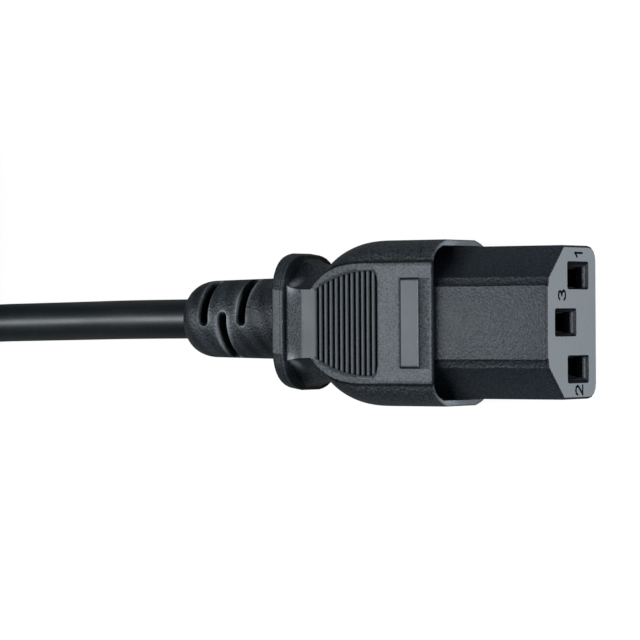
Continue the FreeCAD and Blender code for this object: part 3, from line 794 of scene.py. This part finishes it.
@dataclass(frozen=True)
class Overmould:
    """One overmoulding: grip, neck and flange as one skin, and the strain relief as another.

    A quarter of a ring runs from the middle of the top over the inner field, the rest of the flat top and the
    bowed corner down the side. The shares below say where its points lie.

    Attributes:
        shape, relief, ribs: the outer shape, the strain relief and the ribbed field.
        place: where the end stands.
        pad_height: height of the bare raised pad.
        pad_front, pad_rear: its ends, behind the grip's front.
        line: half the width of the pad and of the field ahead of it.
        seat, pocket: half width, half flat and half height of the insert's seat and of the pocket ahead.
        pocket_depth: how deep the pocket is.
        rear_wall: how far behind the face the seat ends.
        rim_inset: how far the front's inner edge stands in from the sides and from the top.
        bend: how far the soft relief stands to one side.
    """

    shape: GripShape
    place: EndPlace
    relief: Relief = Relief()
    ribs: RibField = RibField()
    pad_height: float = 0.22
    pad_front: float = 2.5
    pad_rear: float = 5.8
    line: float = 7.1
    seat: tuple[float, float, float] = (11.9, 8.9, 7.85)
    pocket: tuple[float, float, float] = (12.25, 9.25, 8.55)
    pocket_depth: float = 2.0
    rear_wall: float = 35.9
    rim_inset: tuple[float, float] = (0.92, 0.47)
    bend: float = 0.0

    # Points of a quarter ring: shares of the inner field and of the flat beside it, steps round the corner
    # and down the side, with the small distances that keep the field's wall and its edges sharp
    inner_shares = np.array([0, 0.3, 0.6, 0.85, 1, 1, 1, 1], dtype=float)
    inner_back = np.array([0, 0, 0, 0, 0.55, 0.3, 0.14, 0.0])
    inner_weight = np.array([1, 1, 1, 1, 1, 1, 0.75, 0.0])
    outer_shares = np.array([0.0, 0.35, 0.75, 0.93, 1.0])
    outer_on = np.array([0.14, 0.0, 0.0, 0.0, 0.0])
    corner_steps = np.concatenate([[0.05], np.linspace(0, 1, 9)[1:]])
    # Painted shade round each corner, from the flat top down the side
    corner_tones = [0.9, 0.15, 0.12, 0.55, 0.66, 0.72, 0.78, 0.84, 0.9, 0.95, 1.0]
    side_steps = np.array([0.34, 0.67, 1.0])

    def rings(self, ring: Rings) -> np.ndarray:
        """Points of all rings; each corner is a square curve through its bow.

        Args:
            ring: the columns of the stack of rings.

        Returns:
            Rings by points by x, y, z.
        """
        wide, flat, high, drop, line = (ring[key] for key in ("wide", "flat", "high", "drop", "line"))
        y_in = line * self.inner_shares - self.inner_back * (self.inner_shares >= 1)
        y_out = line + (flat - line) * self.outer_shares + self.outer_on
        t = self.corner_steps[None, :]
        side = high - drop
        mid_y = flat + ring["bow_y"] * (wide - flat)
        mid_z = side + ring["bow_z"] * drop
        pull_y, pull_z = 2 * mid_y - (flat + wide) / 2, 2 * mid_z - (high + side) / 2
        y_corner = (1 - t) ** 2 * flat + 2 * t * (1 - t) * pull_y + t**2 * wide
        z_corner = (1 - t) ** 2 * high + 2 * t * (1 - t) * pull_z + t**2 * side
        rest = [high + 0 * self.outer_shares, z_corner, side * (1 - self.side_steps)]
        y = np.concatenate([y_in, y_out, y_corner, wide + 0 * self.side_steps], axis=1)
        z_top = np.concatenate([high + ring["lift"] * self.inner_weight, *rest], axis=1)
        z_low = np.concatenate([high + ring["low"] * self.inner_weight, *rest], axis=1)
        ys = np.concatenate([y, y[:, -2::-1], -y[:, 1:], -y[:, -2:0:-1]], axis=1)
        zs = np.concatenate([z_top, -z_low[:, -2::-1], -z_low[:, 1:], z_top[:, -2:0:-1]], axis=1)
        return np.stack([np.broadcast_to(ring["x"], ys.shape), ys, zs], axis=-1)

    def grip(self) -> Patch:
        """Skin of the grip, the neck and the flange.

        Returns:
            One closed patch in the end's own frame.
        """
        stack = RingStack()
        self.add_front(stack)
        self.add_back(stack)
        self.add_flange(stack)
        ring = stack.columns()
        rings = self.rings(ring)
        grain, shade = self.dress(rings, ring)
        return skin(rings, grain, (True, True), shade)

    def add_front(self, stack: RingStack) -> None:
        """Add the pocket or the plain front, the rounded edge and the pad.

        Args:
            stack: the rings so far.
        """
        shape, front, line = self.shape, self.shape.front_x, self.line
        w, f, h = shape.width / 2, shape.flat / 2, shape.height / 2
        back, floor = -self.rear_wall, front - self.pocket_depth
        seat_w, seat_f, seat_h = self.seat
        if shape.pocket:
            # The pocket's floor meets its wall in a small rounding
            wide, flat, high = (size - np.array([0.15, 0.0, 0.0]) for size in self.pocket)
            walls = [floor, floor + 0.1, front - 0.12]
            # Painted shade in the seat and the pocket, and painted light on the rim
            stack.add([back, floor], seat_w, seat_f, seat_h, 3.0, 7.0, grain=0.0, tone=0.3, **ROUND_BOW)
            stack.add(walls, wide, flat, high, 3.0, line, grain=0.3, tone=[0.2, 0.25, 1.3], **ROUND_BOW)
            rim_w, rim_h = w - self.rim_inset[0], h - self.rim_inset[1]
            stack.add(front, rim_w, 9.3, rim_h, 3.1, line, grain=0.3, tone=1.4)
        else:
            wide, high = [seat_w, w - 2.6], [seat_h, h - 2.2]
            stack.add([back, front], wide, seat_f, high, 3.0, 7.0, grain=0.0, **ROUND_BOW)
        edge = front - np.array([0.0, 0.07, 0.25])
        wide, flat, high = [w - 0.28, w - 0.09, w], [f - 0.1, f - 0.03, f], [h - 0.22, h - 0.07, h]
        # Painted light on the rounded front edge
        stack.add(edge, wide, flat, high, shape.corner_drop, line, tone=[1.35, 1.15, 1.0])
        wall = np.array([-0.12, 0.0, 0.07, 0.14])
        x = np.concatenate([front - self.pad_front - wall, front - self.pad_rear + wall[::-1]])
        share = np.array([0.0, 0.1, 0.75, 1.0, 1.0, 0.75, 0.1, 0.0])
        # Painted shade at the foot of the pad's ends
        rim = [0.25, 0.25, 0.8, 1.0, 1.0, 0.8, 0.25, 0.25]
        pad = [0, 1, 1, 1, 1, 1, 1, 0]
        stack.add(x, line=line, lift=share * self.pad_height, inner=rim, pad=pad, **shape.outline(x))

    def add_back(self, stack: RingStack) -> None:
        """Add the grip from behind the pad over the ribs to the neck's rear.

        Args:
            stack: the rings so far.
        """
        shape, ribs, front = self.shape, self.ribs, self.shape.front_x
        rib_front = front - ribs.front
        x = np.linspace(front - self.pad_rear - 0.5, rib_front + 0.15, 7)
        line = np.interp(x, [x[-1], x[0]], [float(ribs.half_width(np.array(0.0))), self.line])
        stack.add(x, line=line, **shape.outline(x))
        runs, deep = ribs.stations()
        x, lift = rib_front - runs, -deep * ribs.depth
        # Painted shade in the gaps between the ribs, darker the deeper they lie
        inner = 0.85 - 0.65 * np.clip(deep, 0, 1)
        stack.add(x, line=ribs.half_width(runs), lift=lift, low=lift, inner=inner, **shape.outline(x))
        neck_x = front - shape.straight - shape.shoulder_length
        run = np.sin(np.linspace(0, math.pi / 2, 19)[1:])
        ahead = np.linspace(rib_front - ribs.length - 0.1, neck_x, 5)
        x = np.concatenate([ahead, neck_x - run * (neck_x - shape.flange_front)])
        # Painted shade: a dark line where the neck meets the flange
        tone = np.concatenate([np.ones(len(ahead)), np.where(run > 0.96, 0.35, 1.0)])
        size = shape.outline(x)
        stack.add(x, line=size["flat"] * 0.9, tone=tone, **size)

    def add_flange(self, stack: RingStack) -> None:
        """Add the flange with its groove and the wall behind it.

        Args:
            stack: the rings so far.
        """
        shape = self.shape
        corner = shape.flange_corner
        behind = np.array([0.0, 0.06, 0.25, 0.5, 0.56, 0.66, 0.72, 1.2, 1.9, 2.12, 2.26, 2.3])
        inward = np.array([0.4, 0.15, 0.0, 0.0, 0.09, 0.09, 0.0, 0.0, 0.0, 0.1, 0.3, 0.5])
        # Painted shade at the flange's front edge, in its groove and at its rear
        tone = [0.2, 0.35, 0.95, 0.85, 0.55, 0.55, 0.85, 0.8, 0.8, 0.75, 0.5, 0.4]
        flat = shape.flange_width / 2 - corner
        wide, high = flat + corner - inward, shape.flange_height / 2 - inward
        x = shape.flange_front - behind
        stack.add(x, wide, flat, high, corner - inward, flat * 0.9, grain=0.5, tone=tone, **ROUND_BOW)
        rear = shape.flange_front - shape.flange_thickness
        stack.add([rear, rear + 0.8], [6.2, 5.8], 0.6, [6.2, 5.8], [5.6, 5.2], 0.4, grain=0.2, **ROUND_BOW)

    def dress(self, rings: np.ndarray, ring: Rings) -> tuple[np.ndarray, np.ndarray]:
        """Grain and shade of the grip.

        Args:
            rings: rings by points by x, y, z.
            ring: the columns of the stack of rings.

        Returns:
            Both values per ring and point.
        """
        ribs, front, flange = self.ribs, self.shape.front_x, self.shape.flange_front
        x, y, z = rings[..., 0], np.abs(rings[..., 1]), rings[..., 2]
        on_flat = np.abs(z) > TOP_LEVEL
        on_field = on_flat & (y < ring["line"] + 0.01)
        # The front rim is pale only at the sides, where it isn't in the shadow of the grip's top
        tone = np.where((ring["tone"] > 1.0) & (y < 9.5), 0.25, ring["tone"])
        # Painted highlights in the two scoops beside the neck
        glint = np.where(z > 0, np.exp(-(((x - flange - 1.3) / 1.2) ** 2) - ((y - 6.1) / 1.2) ** 2), 0.0)
        shade = np.where(on_field, ring["inner"], 1.0) * self.corner_shade(x) * tone + glint
        # Painted light: the flat top ahead of the ribs is a little paler
        lit_top = smooth_step(front - ribs.front - 1.5, front - ribs.front, x) * (x < front - 0.1)
        shade += np.where((y < self.shape.flat / 2 - 0.3) & (z > TOP_LEVEL), 0.13 * lit_top, 0.0)
        on_pad = on_field & (ring["pad"] > 0) & (z > 0)
        # Painted shade along the pad's sides, and the pad itself a little darker
        pad_edge = on_pad & (y > ring["line"] - 0.2)
        shade = np.where(pad_edge, 0.3, np.where(on_pad, shade * 0.9, shade))
        run = front - ribs.front - x
        in_ribs = (run > 0.0) & (run < ribs.length)
        # Painted shade along the edge of the ribbed field
        shade = np.where(in_ribs & on_flat & (np.abs(y - ring["line"]) < 0.16), 0.35, shade)
        # No grain on the pad, on the ribs and on the plain border behind them
        border = (run > -0.1) & (run < ribs.length + 2.2) & (y < ribs.half_width(run) + 0.45)
        grain = np.where(on_pad, 0.1, ring["grain"])
        return np.where(border & (np.abs(z) > TOP_LEVEL + 0.5), 0.15, grain), shade

    def corner_shade(self, x: np.ndarray) -> np.ndarray:
        """Painted shade: a dark line where the flat top turns into the side, weaker at the neck.

        Args:
            x: place of each ring point.

        Returns:
            A factor per ring and point.
        """
        ahead, behind = len(self.inner_shares) + len(self.outer_shares) - 2, len(self.side_steps)
        quarter = np.array([1.0] * ahead + self.corner_tones + [1.0] * behind)
        ring = np.concatenate([quarter, quarter[-2::-1], quarter[1:], quarter[-2:0:-1]])
        return 1 - (1 - ring[None, :]) * (0.7 + 0.3 * smooth_step(-44.0, -38.0, x))

    def build(self, name: str, node: str) -> Piece:
        """Make the overmoulding.

        Args:
            name: the object's name.
            node: the node it replaces.

        Returns:
            The object.
        """
        root = self.shape.flange_front - self.shape.flange_thickness
        patch = joined([self.grip(), self.relief.patch(root)])
        patch.points[:, 1] += self.bend * smooth_step(46.5, 54.0, -patch.points[:, 0])
        return make_piece(name, self.place.placed(patch), Finish.MOULDING, [node])


@dataclass(frozen=True)
class MatingFace:
    """The keyed outline of the connector's nose and of the plug's shroud.

    Attributes:
        width, height: size of the nose.
        pad_half, pad_rise: half the width of its raised middle, and how far that stands up.
        edge_width, edge_drop: width of the sloping strip beside it, and how far that falls.
        corner: radius of the lower corners.
        key: size of the shroud's bevelled corners, measured at the nose.
    """

    width: float = 24.1
    height: float = 16.0
    pad_half: float = 5.75
    pad_rise: float = 0.2
    edge_width: float = 1.35
    edge_drop: float = 0.25
    corner: float = 2.4
    key: float = 4.8

    def loop(self, grow: float = 0.0) -> np.ndarray:
        """Outline of the face, clockwise seen from +X.

        Args:
            grow: how far it is moved outwards; 0 gives the nose with its raised middle.

        Returns:
            One row of y, z per point.
        """
        w, h = self.width / 2 + grow, self.height / 2 + grow
        if grow == 0:
            edge = self.pad_half + self.edge_width
            low = h - self.pad_rise - self.edge_drop
            right = [(self.pad_half, h), (self.pad_half + 0.05, h - self.pad_rise), (edge, low)]
            right, soft = right + [(w, low - (w - edge))], [0.08, 0.03, 0.3, 0.35]
        else:
            key = self.key + 2 * grow * (1 - math.tan(math.radians(22.5)))
            right, soft = [(w - key, h), (w, h - key)], [0.5, 0.5]
        right, soft = right + [(w, -h)], soft + [self.corner + grow]
        left = [(-y, z) for y, z in reversed(right)]
        return rounded_loop(np.array(right + left), np.array(soft + soft[::-1]))


@dataclass(frozen=True)
class Pole:
    """One pole of the connector, as seen in its own frame."""

    name: str
    y: float
    z: float


POLES = (Pole("live", 7.0, -2.0), Pole("neutral", -7.0, -2.0), Pole("earth", 0.0, 2.0))


@dataclass(frozen=True)
class Nose:
    """The connector's insert: keyed nose with three bevelled openings and the cells behind them.

    Attributes:
        face, place: its outline, and where the end stands.
        outward: how far the outer poles' bevels reach further outwards.
    """

    face: MatingFace
    place: EndPlace
    outward: float = 0.35

    # Per ring of an opening: x, share of outward, width, height, corner, tone above and tone elsewhere
    # The tones are painted shade deep in the opening, and a painted highlight on the bevel
    rows = (
        (0.0, 1.0, 4.4, 6.9, 0.45, 1.0, 0.5),
        (-0.08, 1.0, 4.25, 6.75, 0.42, 0.3, 0.25),
        (-0.37, 0.6, 3.85, 6.23, 0.38, 0.14, 0.22),
        (-0.5, 0.4, 3.65, 5.97, 0.35, 0.14, 0.7),
        (-0.8, 0.0, 3.25, 5.45, 0.3, 0.14, 0.15),
        (-0.95, 0.0, 3.2, 5.4, 0.3, 0.12, 0.12),
        (-1.8, 0.0, 3.2, 5.4, 0.3, 0.1, 0.1),
        (-1.8, 0.0, 4.4, 6.2, 0.2, 0.05, 0.05),
        (-35.9, 0.0, 4.4, 6.2, 0.2, 0.05, 0.05),
    )

    def opening(self, pole: Pole) -> Patch:
        """Skin of one opening, open at the face and closed at the back.

        Args:
            pole: the pole that it belongs to.

        Returns:
            The patch.
        """
        out = self.outward * np.sign(pole.y)
        loops = [at(row[0], rectangle_loop(pole.y + row[1] * out, pole.z, *row[2:5])) for row in self.rows]
        rings = np.stack(loops)[:, ::-1]
        above, elsewhere = np.array(self.rows)[:, -2:].T[:, :, None]
        # Painted shade deep in the opening, and a thin painted highlight round the bevel, but not on its
        # upper side, which faces away
        upper = rings[0, :, 2] > pole.z + 2.9
        return skin(rings, 0.5, (False, True), np.where(upper, above, elsewhere))

    def front(self, outer: np.ndarray, openings: list[Patch]) -> Patch:
        """The flat face between the outline and the openings, cut into triangles.

        Args:
            outer: the outline that it meets, one row of x, y, z per point.
            openings: the openings' patches, whose first rings it meets.

        Returns:
            The patch, all in the colour of painted light.
        """
        loops = [outer] + [opening.points[: 4 * CORNER_STEPS] for opening in openings]
        faces = tessellate_polygon([[Vector((y, z, 0.0)) for _, y, z in loop] for loop in loops])
        points = np.concatenate(loops)
        # Painted light: the whole face takes the colour of painted light
        return Patch(points, [list(face) for face in faces], np.ones(len(points)), np.full(len(points), 2.0))

    def build(self) -> Piece:
        """Make the insert.

        Returns:
            The object.
        """
        face, loop = self.face, self.face.loop()
        y, z = np.abs(loop[:, 0]), loop[:, 1]
        steps = ((0.0, 0.34), (-0.05, 0.18), (-0.16, 0.06), (-0.34, 0.0))
        steps += ((-15.0, 0.0), (-20.0, 0.0), (-35.95, 0.0))
        rings = np.stack([at(x, inset(loop, amount)) for x, amount in steps])
        # Painted shade: darker lines at the foot of the raised middle and along the strip beside it
        foot = (np.abs(y - face.pad_half - 0.05) < 0.04) & (z > 0)
        foot &= z < face.height / 2 - 0.6 * face.pad_rise
        edge = (np.abs(y - face.pad_half - face.edge_width) < 0.3) & (z > 0)
        shade = np.tile(np.where(foot, 0.3, np.where(edge, 0.75, 1.0)), (len(steps), 1))
        # Painted shade on the front edge, and on the bevels and sides where the pocket's rim stands over them
        shade[1:3] *= 0.5
        shade[-2:] *= np.interp(y, [6.5, 7.1, 9.0], [0.9, 0.5, 0.12])
        openings = [self.opening(pole) for pole in POLES]
        body = skin(rings, 1.0, (False, True), shade)
        patch = self.place.placed(joined([body, self.front(rings[0], openings)] + openings))
        return make_piece("connector_nose_finished", patch, Finish.INSERT, ["connector_nose"], 28.0)


@dataclass(frozen=True)
class PoleMarks:
    """Plain raised numbers beside the three openings.

    Attributes:
        place: where the end stands.
        height, rise, line: height of a number, how far it stands out, and width of its line.
    """

    place: EndPlace
    height: float = 2.2
    rise: float = 0.1
    line: float = 0.36

    # Corners of each number's line in hundredths of its height, and where its lower left corner lies
    digits = {
        "live": "10 75, 35 100, 35 0",
        "neutral": "0 75, 9 93, 30 100, 51 93, 60 76, 54 58, 0 0, 62 0",
        "earth": "0 84, 11 96, 29 100, 49 94, 57 78, 49 61, 28 54, 52 45, 62 26, 52 7, 30 0, 10 5, -2 19",
    }
    corners = {"live": (10.1, -3.3), "neutral": (-11.3, -3.3), "earth": (3.6, 2.1)}

    def stroke(self, a: np.ndarray, b: np.ndarray) -> Patch:
        """One straight stroke with sloping sides.

        Args:
            a: its start on the face, as y, z.
            b: its end.

        Returns:
            The patch.
        """
        along = (b - a) / np.linalg.norm(b - a)
        across = np.array([-along[1], along[0]])
        rings = []
        for share, part in ((-0.2, 2.0), (0.7, 2.3), (1.0, 4.0)):
            x, half = self.rise * share, self.line / part
            start, end, aside = a - along * half, b + along * half, across * half
            rings.append(at(x, np.array([start - aside, end - aside, end + aside, start + aside])))
        return skin(np.stack(rings), 0.0, (True, True), 0.12)

    def build(self) -> Piece:
        """Make the marks as one piece.

        Returns:
            The object.
        """
        patches = []
        for pole, line in self.digits.items():
            corner = np.array(self.corners[pole])
            knots = [corner + self.height * np.array(knot.split(), float) / 100.0 for knot in line.split(",")]
            patches += [self.stroke(a, b) for a, b in zip(knots, knots[1:])]
        return make_piece("pole_marks", self.place.placed(joined(patches)), Finish.INSERT, [], 20.0)


@dataclass(frozen=True)
class Shroud:
    """The plug's insert: a keyed shroud round its pins.

    Attributes:
        face, place: the outline of the nose that it fits over, and where the end stands.
        clearance, wall: gap round that nose, and thickness of the shroud.
    """

    face: MatingFace
    place: EndPlace
    clearance: float = 0.3
    wall: float = 1.7

    def build(self) -> Piece:
        """Make the shroud with its floor.

        Returns:
            The object.
        """
        outer, inner = self.face.loop(self.clearance + self.wall), self.face.loop(self.clearance)
        steps = [(-20.0, outer, 0.0), (-0.4, outer, 0.0), (-0.12, outer, 0.1), (0.0, outer, 0.4)]
        steps += [(0.0, inner, -0.35), (-0.1, inner, -0.1), (-0.35, inner, 0.0)]
        steps += [(-16.8, inner, 0.0), (-17.0, inner, 0.2)]
        rings = np.stack([at(x, inset(loop, amount)) for x, loop, amount in steps])
        patch = self.place.placed(skin(rings[:, ::-1], 1.0, (True, True)))
        return make_piece("plug_shroud_finished", patch, Finish.INSERT, ["plug_shroud"], 28.0)


# The lead


@dataclass(frozen=True)
class HankShape:
    """The put-away length: turns pinched at the middle.

    Attributes:
        diameter: the lead's diameter.
        pitch: distance between strands side by side.
        fold: radius of the inner end loops.
        waist: radius of the inner strands where they swing to the waist.
        waist_half: half the straight stretch at the waist.
        near_tip, middle_y: x of the end nearest the connector, and y of its axis.
        turns, loop_points: number of turns, and of control points on each end loop.
    """

    diameter: float = 6.6
    pitch: float = 6.75
    fold: float = 3.15 * 6.6
    waist: float = 5.0 * 6.6
    waist_half: float = 6.6
    near_tip: float = -86.0
    middle_y: float = 20.0
    turns: int = 5
    loop_points: int = 8

    @property
    def swing_turn(self) -> float:
        """Angle of each swing between an end loop and the waist."""
        return math.acos((self.waist + self.pitch / 2) / (self.waist + self.fold))

    @property
    def loop_offset(self) -> float:
        """Distance of an end loop's middle from the hank's middle."""
        return self.waist_half + (self.waist + self.fold) * math.sin(self.swing_turn)

    @property
    def middle_x(self) -> float:
        """x of the hank's middle."""
        return self.near_tip - self.fold - self.pitch - self.diameter / 2 - self.loop_offset

    def station(self, k: int, run: float) -> tuple[float, float]:
        """Column and height of the lead on its way back round turn k.

        Each turn changes place while it comes back to the near loop, one after the other, so that no
        strand lies in another: in to the inner column, up a layer, out, up a layer, and in again.

        Args:
            k: number of the turn, from 0.
            run: distance from the end of the waist on the way back.

        Returns:
            Distance outside the inner column, and height of the centreline.
        """
        out = self.pitch
        start, end = ((62, 118), (42, 98), (22, 78), (2, 58), (-18, 38))[k]
        share = float(smooth_step(start, end, run))
        side = (out - out * share, 0.0, out * share, out, out - out * share)[k]
        rise = (0.0, share, 1.0, 1.0 + share, 2.0)[k]
        if k == self.turns - 1:
            rise += float(smooth_step(56, 118, run))
        return side, self.diameter * (0.5 + rise)

    def points(self) -> list[tuple[float, float, float]]:
        """Control points of the hank's turns: on circles round the end loops and the swings to the waist.

        Returns:
            Points in the row frame, in millimetres, in order.
        """
        turn = self.swing_turn
        step = (math.pi + 2 * turn) / self.loop_points
        wide = math.pi / 2 + turn
        made = []

        def loop_point(sx: int, angle: float, out: float, z: float) -> None:
            """Add a point of an end loop, its angle taken from straight out of the hank."""
            radius = (self.fold + out) / math.cos(step / 2)
            x = self.middle_x + sx * (self.loop_offset + radius * math.cos(angle))
            made.append((x, self.middle_y + radius * math.sin(angle), z))

        def waist_point(sy: int, share: float, out: float, z: float) -> None:
            """Add a point between the loops: share is 0 at the waist, and 1 or -1 at a loop."""
            radius, angle = (self.waist - out) / math.cos(turn / 4), turn * abs(share)
            x, y = 0.0, self.pitch / 2 + out
            if share:
                x = self.waist_half + radius * math.sin(angle)
                y = self.waist + self.pitch / 2 - radius * math.cos(angle)
            made.append((self.middle_x + math.copysign(x, share), self.middle_y + sy * y, z))

        for k in range(self.turns):
            start = self.station(k, -self.loop_offset)
            loop_point(1, -wide + step / 2, *start)
            for share in (0.75, 0.25, 0.0, -0.25, -0.75):
                waist_point(-1, share, *start)
            for j in range(self.loop_points):
                loop_point(-1, -wide + step * (j + 0.5), *start)
            for share in (-0.75, -0.25):
                waist_point(1, share, *start)
            waist_point(1, 0.0, *self.station(k, -self.waist_half))
            for share in (0.25, 0.75):
                waist_point(1, share, *self.station(k, self.waist * turn * share))
            # The last turn ends early, where the lead leaves for the plug
            for j in range(self.loop_points - (3 if k == self.turns - 1 else 1)):
                run = self.waist * turn + (self.fold + self.pitch / 2) * step * (j + 0.5)
                loop_point(1, wide - step * (j + 0.5), *self.station(k, run))
        return made


@dataclass(frozen=True)
class Lead:
    """The lead as one smooth curve: from the connector, round the hank, and up to the plug."""

    hank: HankShape

    route_out = [(-20.55, 0.9, 9.1), (-46.0, 0.9, 9.1), (-64.5, 0.62, 5.2)]
    route_out += [(-94.8, 0.2, 3.3), (-114.2, -8.9, 3.3)]
    route_in = [(-102.6, 3.9, 22.4), (-112.6, -0.9, 23.0), (-122.8, -0.79, 23.1), (-134.0, -0.7, 23.3)]
    route_in += [(-146.0, -0.4, 26.4), (-158.5, 0.0, 29.8), (-171.0, 0.0, 29.8), (-185.64, 0.0, 29.8)]
    exit_point = (-35.55, 0.9, 9.1)

    def curve(self, points: list[tuple[float, float, float]]) -> bpy.types.Curve:
        """Make the round curve: a smooth quadratic spline over its control points, in millimetres.

        Args:
            points: the control points.

        Returns:
            The curve.
        """
        curve = bpy.data.curves.new("lead_finished", "CURVE")
        curve.dimensions = "3D"
        curve.bevel_depth = self.hank.diameter / 2 * MM
        curve.bevel_resolution = curve.resolution_u = 10
        curve.use_fill_caps = True
        spline = curve.splines.new("NURBS")
        spline.points.add(len(points) - 1)
        values = np.column_stack([np.array(points) * MM, np.ones(len(points))])
        spline.points.foreach_set("co", values.ravel())
        spline.use_endpoint_u = True
        spline.order_u = 3
        spline.use_smooth = True
        return curve

    def build(self, with_pieces: list[Piece]) -> Piece:
        """Args:
            with_pieces: the pieces on its far end; not used.

        Returns:
            The object.
        """
        points = self.route_out + self.hank.points() + self.route_in
        curve = self.curve(points)
        curve.materials.append(MATERIALS[Finish.JACKET])
        lead = linked("lead_finished", curve)
        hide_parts("cord_lead", "cord_hank", "cord_tail")
        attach(lead, "root")
        LOG.info("lead: %d control points", len(points))
        return lead


# Camera, lights and floor


@dataclass(frozen=True)
class Viewpoint:
    """The photograph's camera, fitted to the connector's own measures.

    Attributes:
        tilt, roll: how far it leans from straight down, and turns about its axis, in degrees.
        target, distance: the point it looks at, and how far that is, in millimetres.
        focal_pixels, picture: focal length and width of the picture, in pixels.
    """

    tilt: float = 33.07
    roll: float = -0.314
    distance: float = 547.1
    target: tuple[float, float, float] = (-6.2, 0.58, 17.1)
    focal_pixels: float = 3400.0
    picture: int = 640

    def build(self) -> None:
        """Place the camera."""
        a, roll = math.radians(self.tilt), math.radians(self.roll)
        towards = Vector((-math.sin(a), 0.0, -math.cos(a)))
        right, up = Vector((math.cos(a), 0.0, -math.sin(a))), Vector((0.0, 1.0, 0.0))
        turned_right = math.cos(roll) * right + math.sin(roll) * up
        turned_up = -math.sin(roll) * right + math.cos(roll) * up
        camera = bpy.data.cameras.new("photo_camera")
        camera.sensor_width = 36.0
        camera.lens = camera.sensor_width * self.focal_pixels / self.picture
        camera.clip_end = 10.0
        seat = linked("photo_camera", camera)
        place = (Vector(self.target) - towards * self.distance) * MM
        turn = Matrix((turned_right, turned_up, -towards)).transposed()
        seat.matrix_world = Matrix.Translation(place) @ turn.to_4x4()
        bpy.context.scene.camera = seat


@dataclass(frozen=True)
class SoftBox:
    """One large soft lamp.

    Attributes:
        name: its name.
        place, size: where it stands, looking at the origin, and its width and height, in metres.
        power, colour: its power in watts and its colour.
    """

    name: str
    place: tuple[float, float, float]
    size: tuple[float, float]
    power: float
    colour: Colour = (0.9, 0.95, 1.0)

    def build(self) -> None:
        """Place the lamp."""
        lamp = bpy.data.lights.new(self.name, "AREA")
        lamp.shape = "RECTANGLE"
        lamp.size, lamp.size_y = self.size
        lamp.energy, lamp.color = self.power, self.colour
        place = Vector(self.place)
        turn = (-place).to_track_quat("-Z", "Y").to_matrix().to_4x4()
        linked(self.name, lamp).matrix_world = Matrix.Translation(place) @ turn


@dataclass(frozen=True)
class Studio:
    """White surroundings: world, floor and soft lamps."""

    lamps: tuple[SoftBox, ...] = (
        SoftBox("top_box", (-0.42, 0.0, 0.70), (0.2, 1.0), 6.8),
        SoftBox("front_box", (0.85, 0.0, 0.24), (0.5, 0.35), 12.5),
    )
    floor_half: float = 3.0

    def world(self) -> None:
        """White for the camera, dimmer in reflections and as a light."""
        world = bpy.data.worlds.new("white_room")
        world.use_nodes = True
        kit = NodeTree(world.node_tree)
        strength = kit.maths("MAXIMUM", kit.backdrop(0.07), 0.045)
        shade = kit.add("ShaderNodeBackground", {"Color": WHITE, "Strength": strength})
        kit.add("ShaderNodeOutputWorld", {"Surface": shade.outputs[0]})
        bpy.context.scene.world = world

    def floor(self) -> None:
        """A white floor that keeps a trace of the part's shadow."""
        mesh = bpy.data.meshes.new("floor")
        half = self.floor_half
        corners = [(-half, -half, 0), (half, -half, 0), (half, half, 0), (-half, half, 0)]
        mesh.from_pydata(corners, [], [(0, 1, 2, 3)])
        material, kit = new_material("floor_white")
        base = kit.add("ShaderNodeBsdfDiffuse", {"Color": (0.09, 0.09, 0.09, 1.0)})
        glow = kit.maths("MULTIPLY", kit.backdrop(0.08), 0.95)
        white = kit.add("ShaderNodeEmission", {"Color": WHITE, "Strength": glow})
        both = kit.add("ShaderNodeAddShader", {0: base.outputs[0], 1: white.outputs[0]})
        kit.add("ShaderNodeOutputMaterial", {"Surface": both.outputs[0]})
        mesh.materials.append(material)
        linked("floor", mesh)

    def build(self) -> None:
        """Set up the surroundings and the view settings."""
        self.world()
        self.floor()
        for lamp in self.lamps:
            lamp.build()
        bpy.context.scene.view_settings.view_transform = "Standard"
        LOG.info("studio: %d lamps", len(self.lamps))


def finish_frame_nodes() -> None:
    """Give every node that stays visible its slot's material."""
    slots = {entry["node"]: entry["material_slot"] for entry in frame["record"]["subparts"]}
    for name, node in frame["nodes"].items():
        node.data.materials.clear()
        node.data.materials.append(MATERIALS[Finish(slots[name])])


def main() -> None:
    """Build the scene."""
    finish_frame_nodes()
    connector = EndPlace(Side.CONNECTOR, 35.55, 9.1)
    plug = EndPlace(Side.PLUG, -241.74, 29.8)
    face = MatingFace()
    connector_body = Overmould(GripShape(26.5, 18.2), connector, bend=0.85)
    connector_body.build("connector_overmould_finished", "connector_overmould")
    Nose(face, connector).build()
    PoleMarks(connector).build()
    plug_body = Overmould(GripShape(28.1, 20.0, pocket=False), plug)
    plug_pieces = [plug_body.build("plug_overmould_finished", "plug_overmould"), Shroud(face, plug).build()]
    plug_parts = [f"plug_{pole.name}_{part}" for pole in POLES for part in ("pin", "core", "strands")]
    plug_pieces += [frame["nodes"][name] for name in plug_parts + ["cord_tie"]]
    Lead(HankShape()).build(plug_pieces)
    Viewpoint().build()
    Studio().build()


if __name__ == "__main__":
    main()
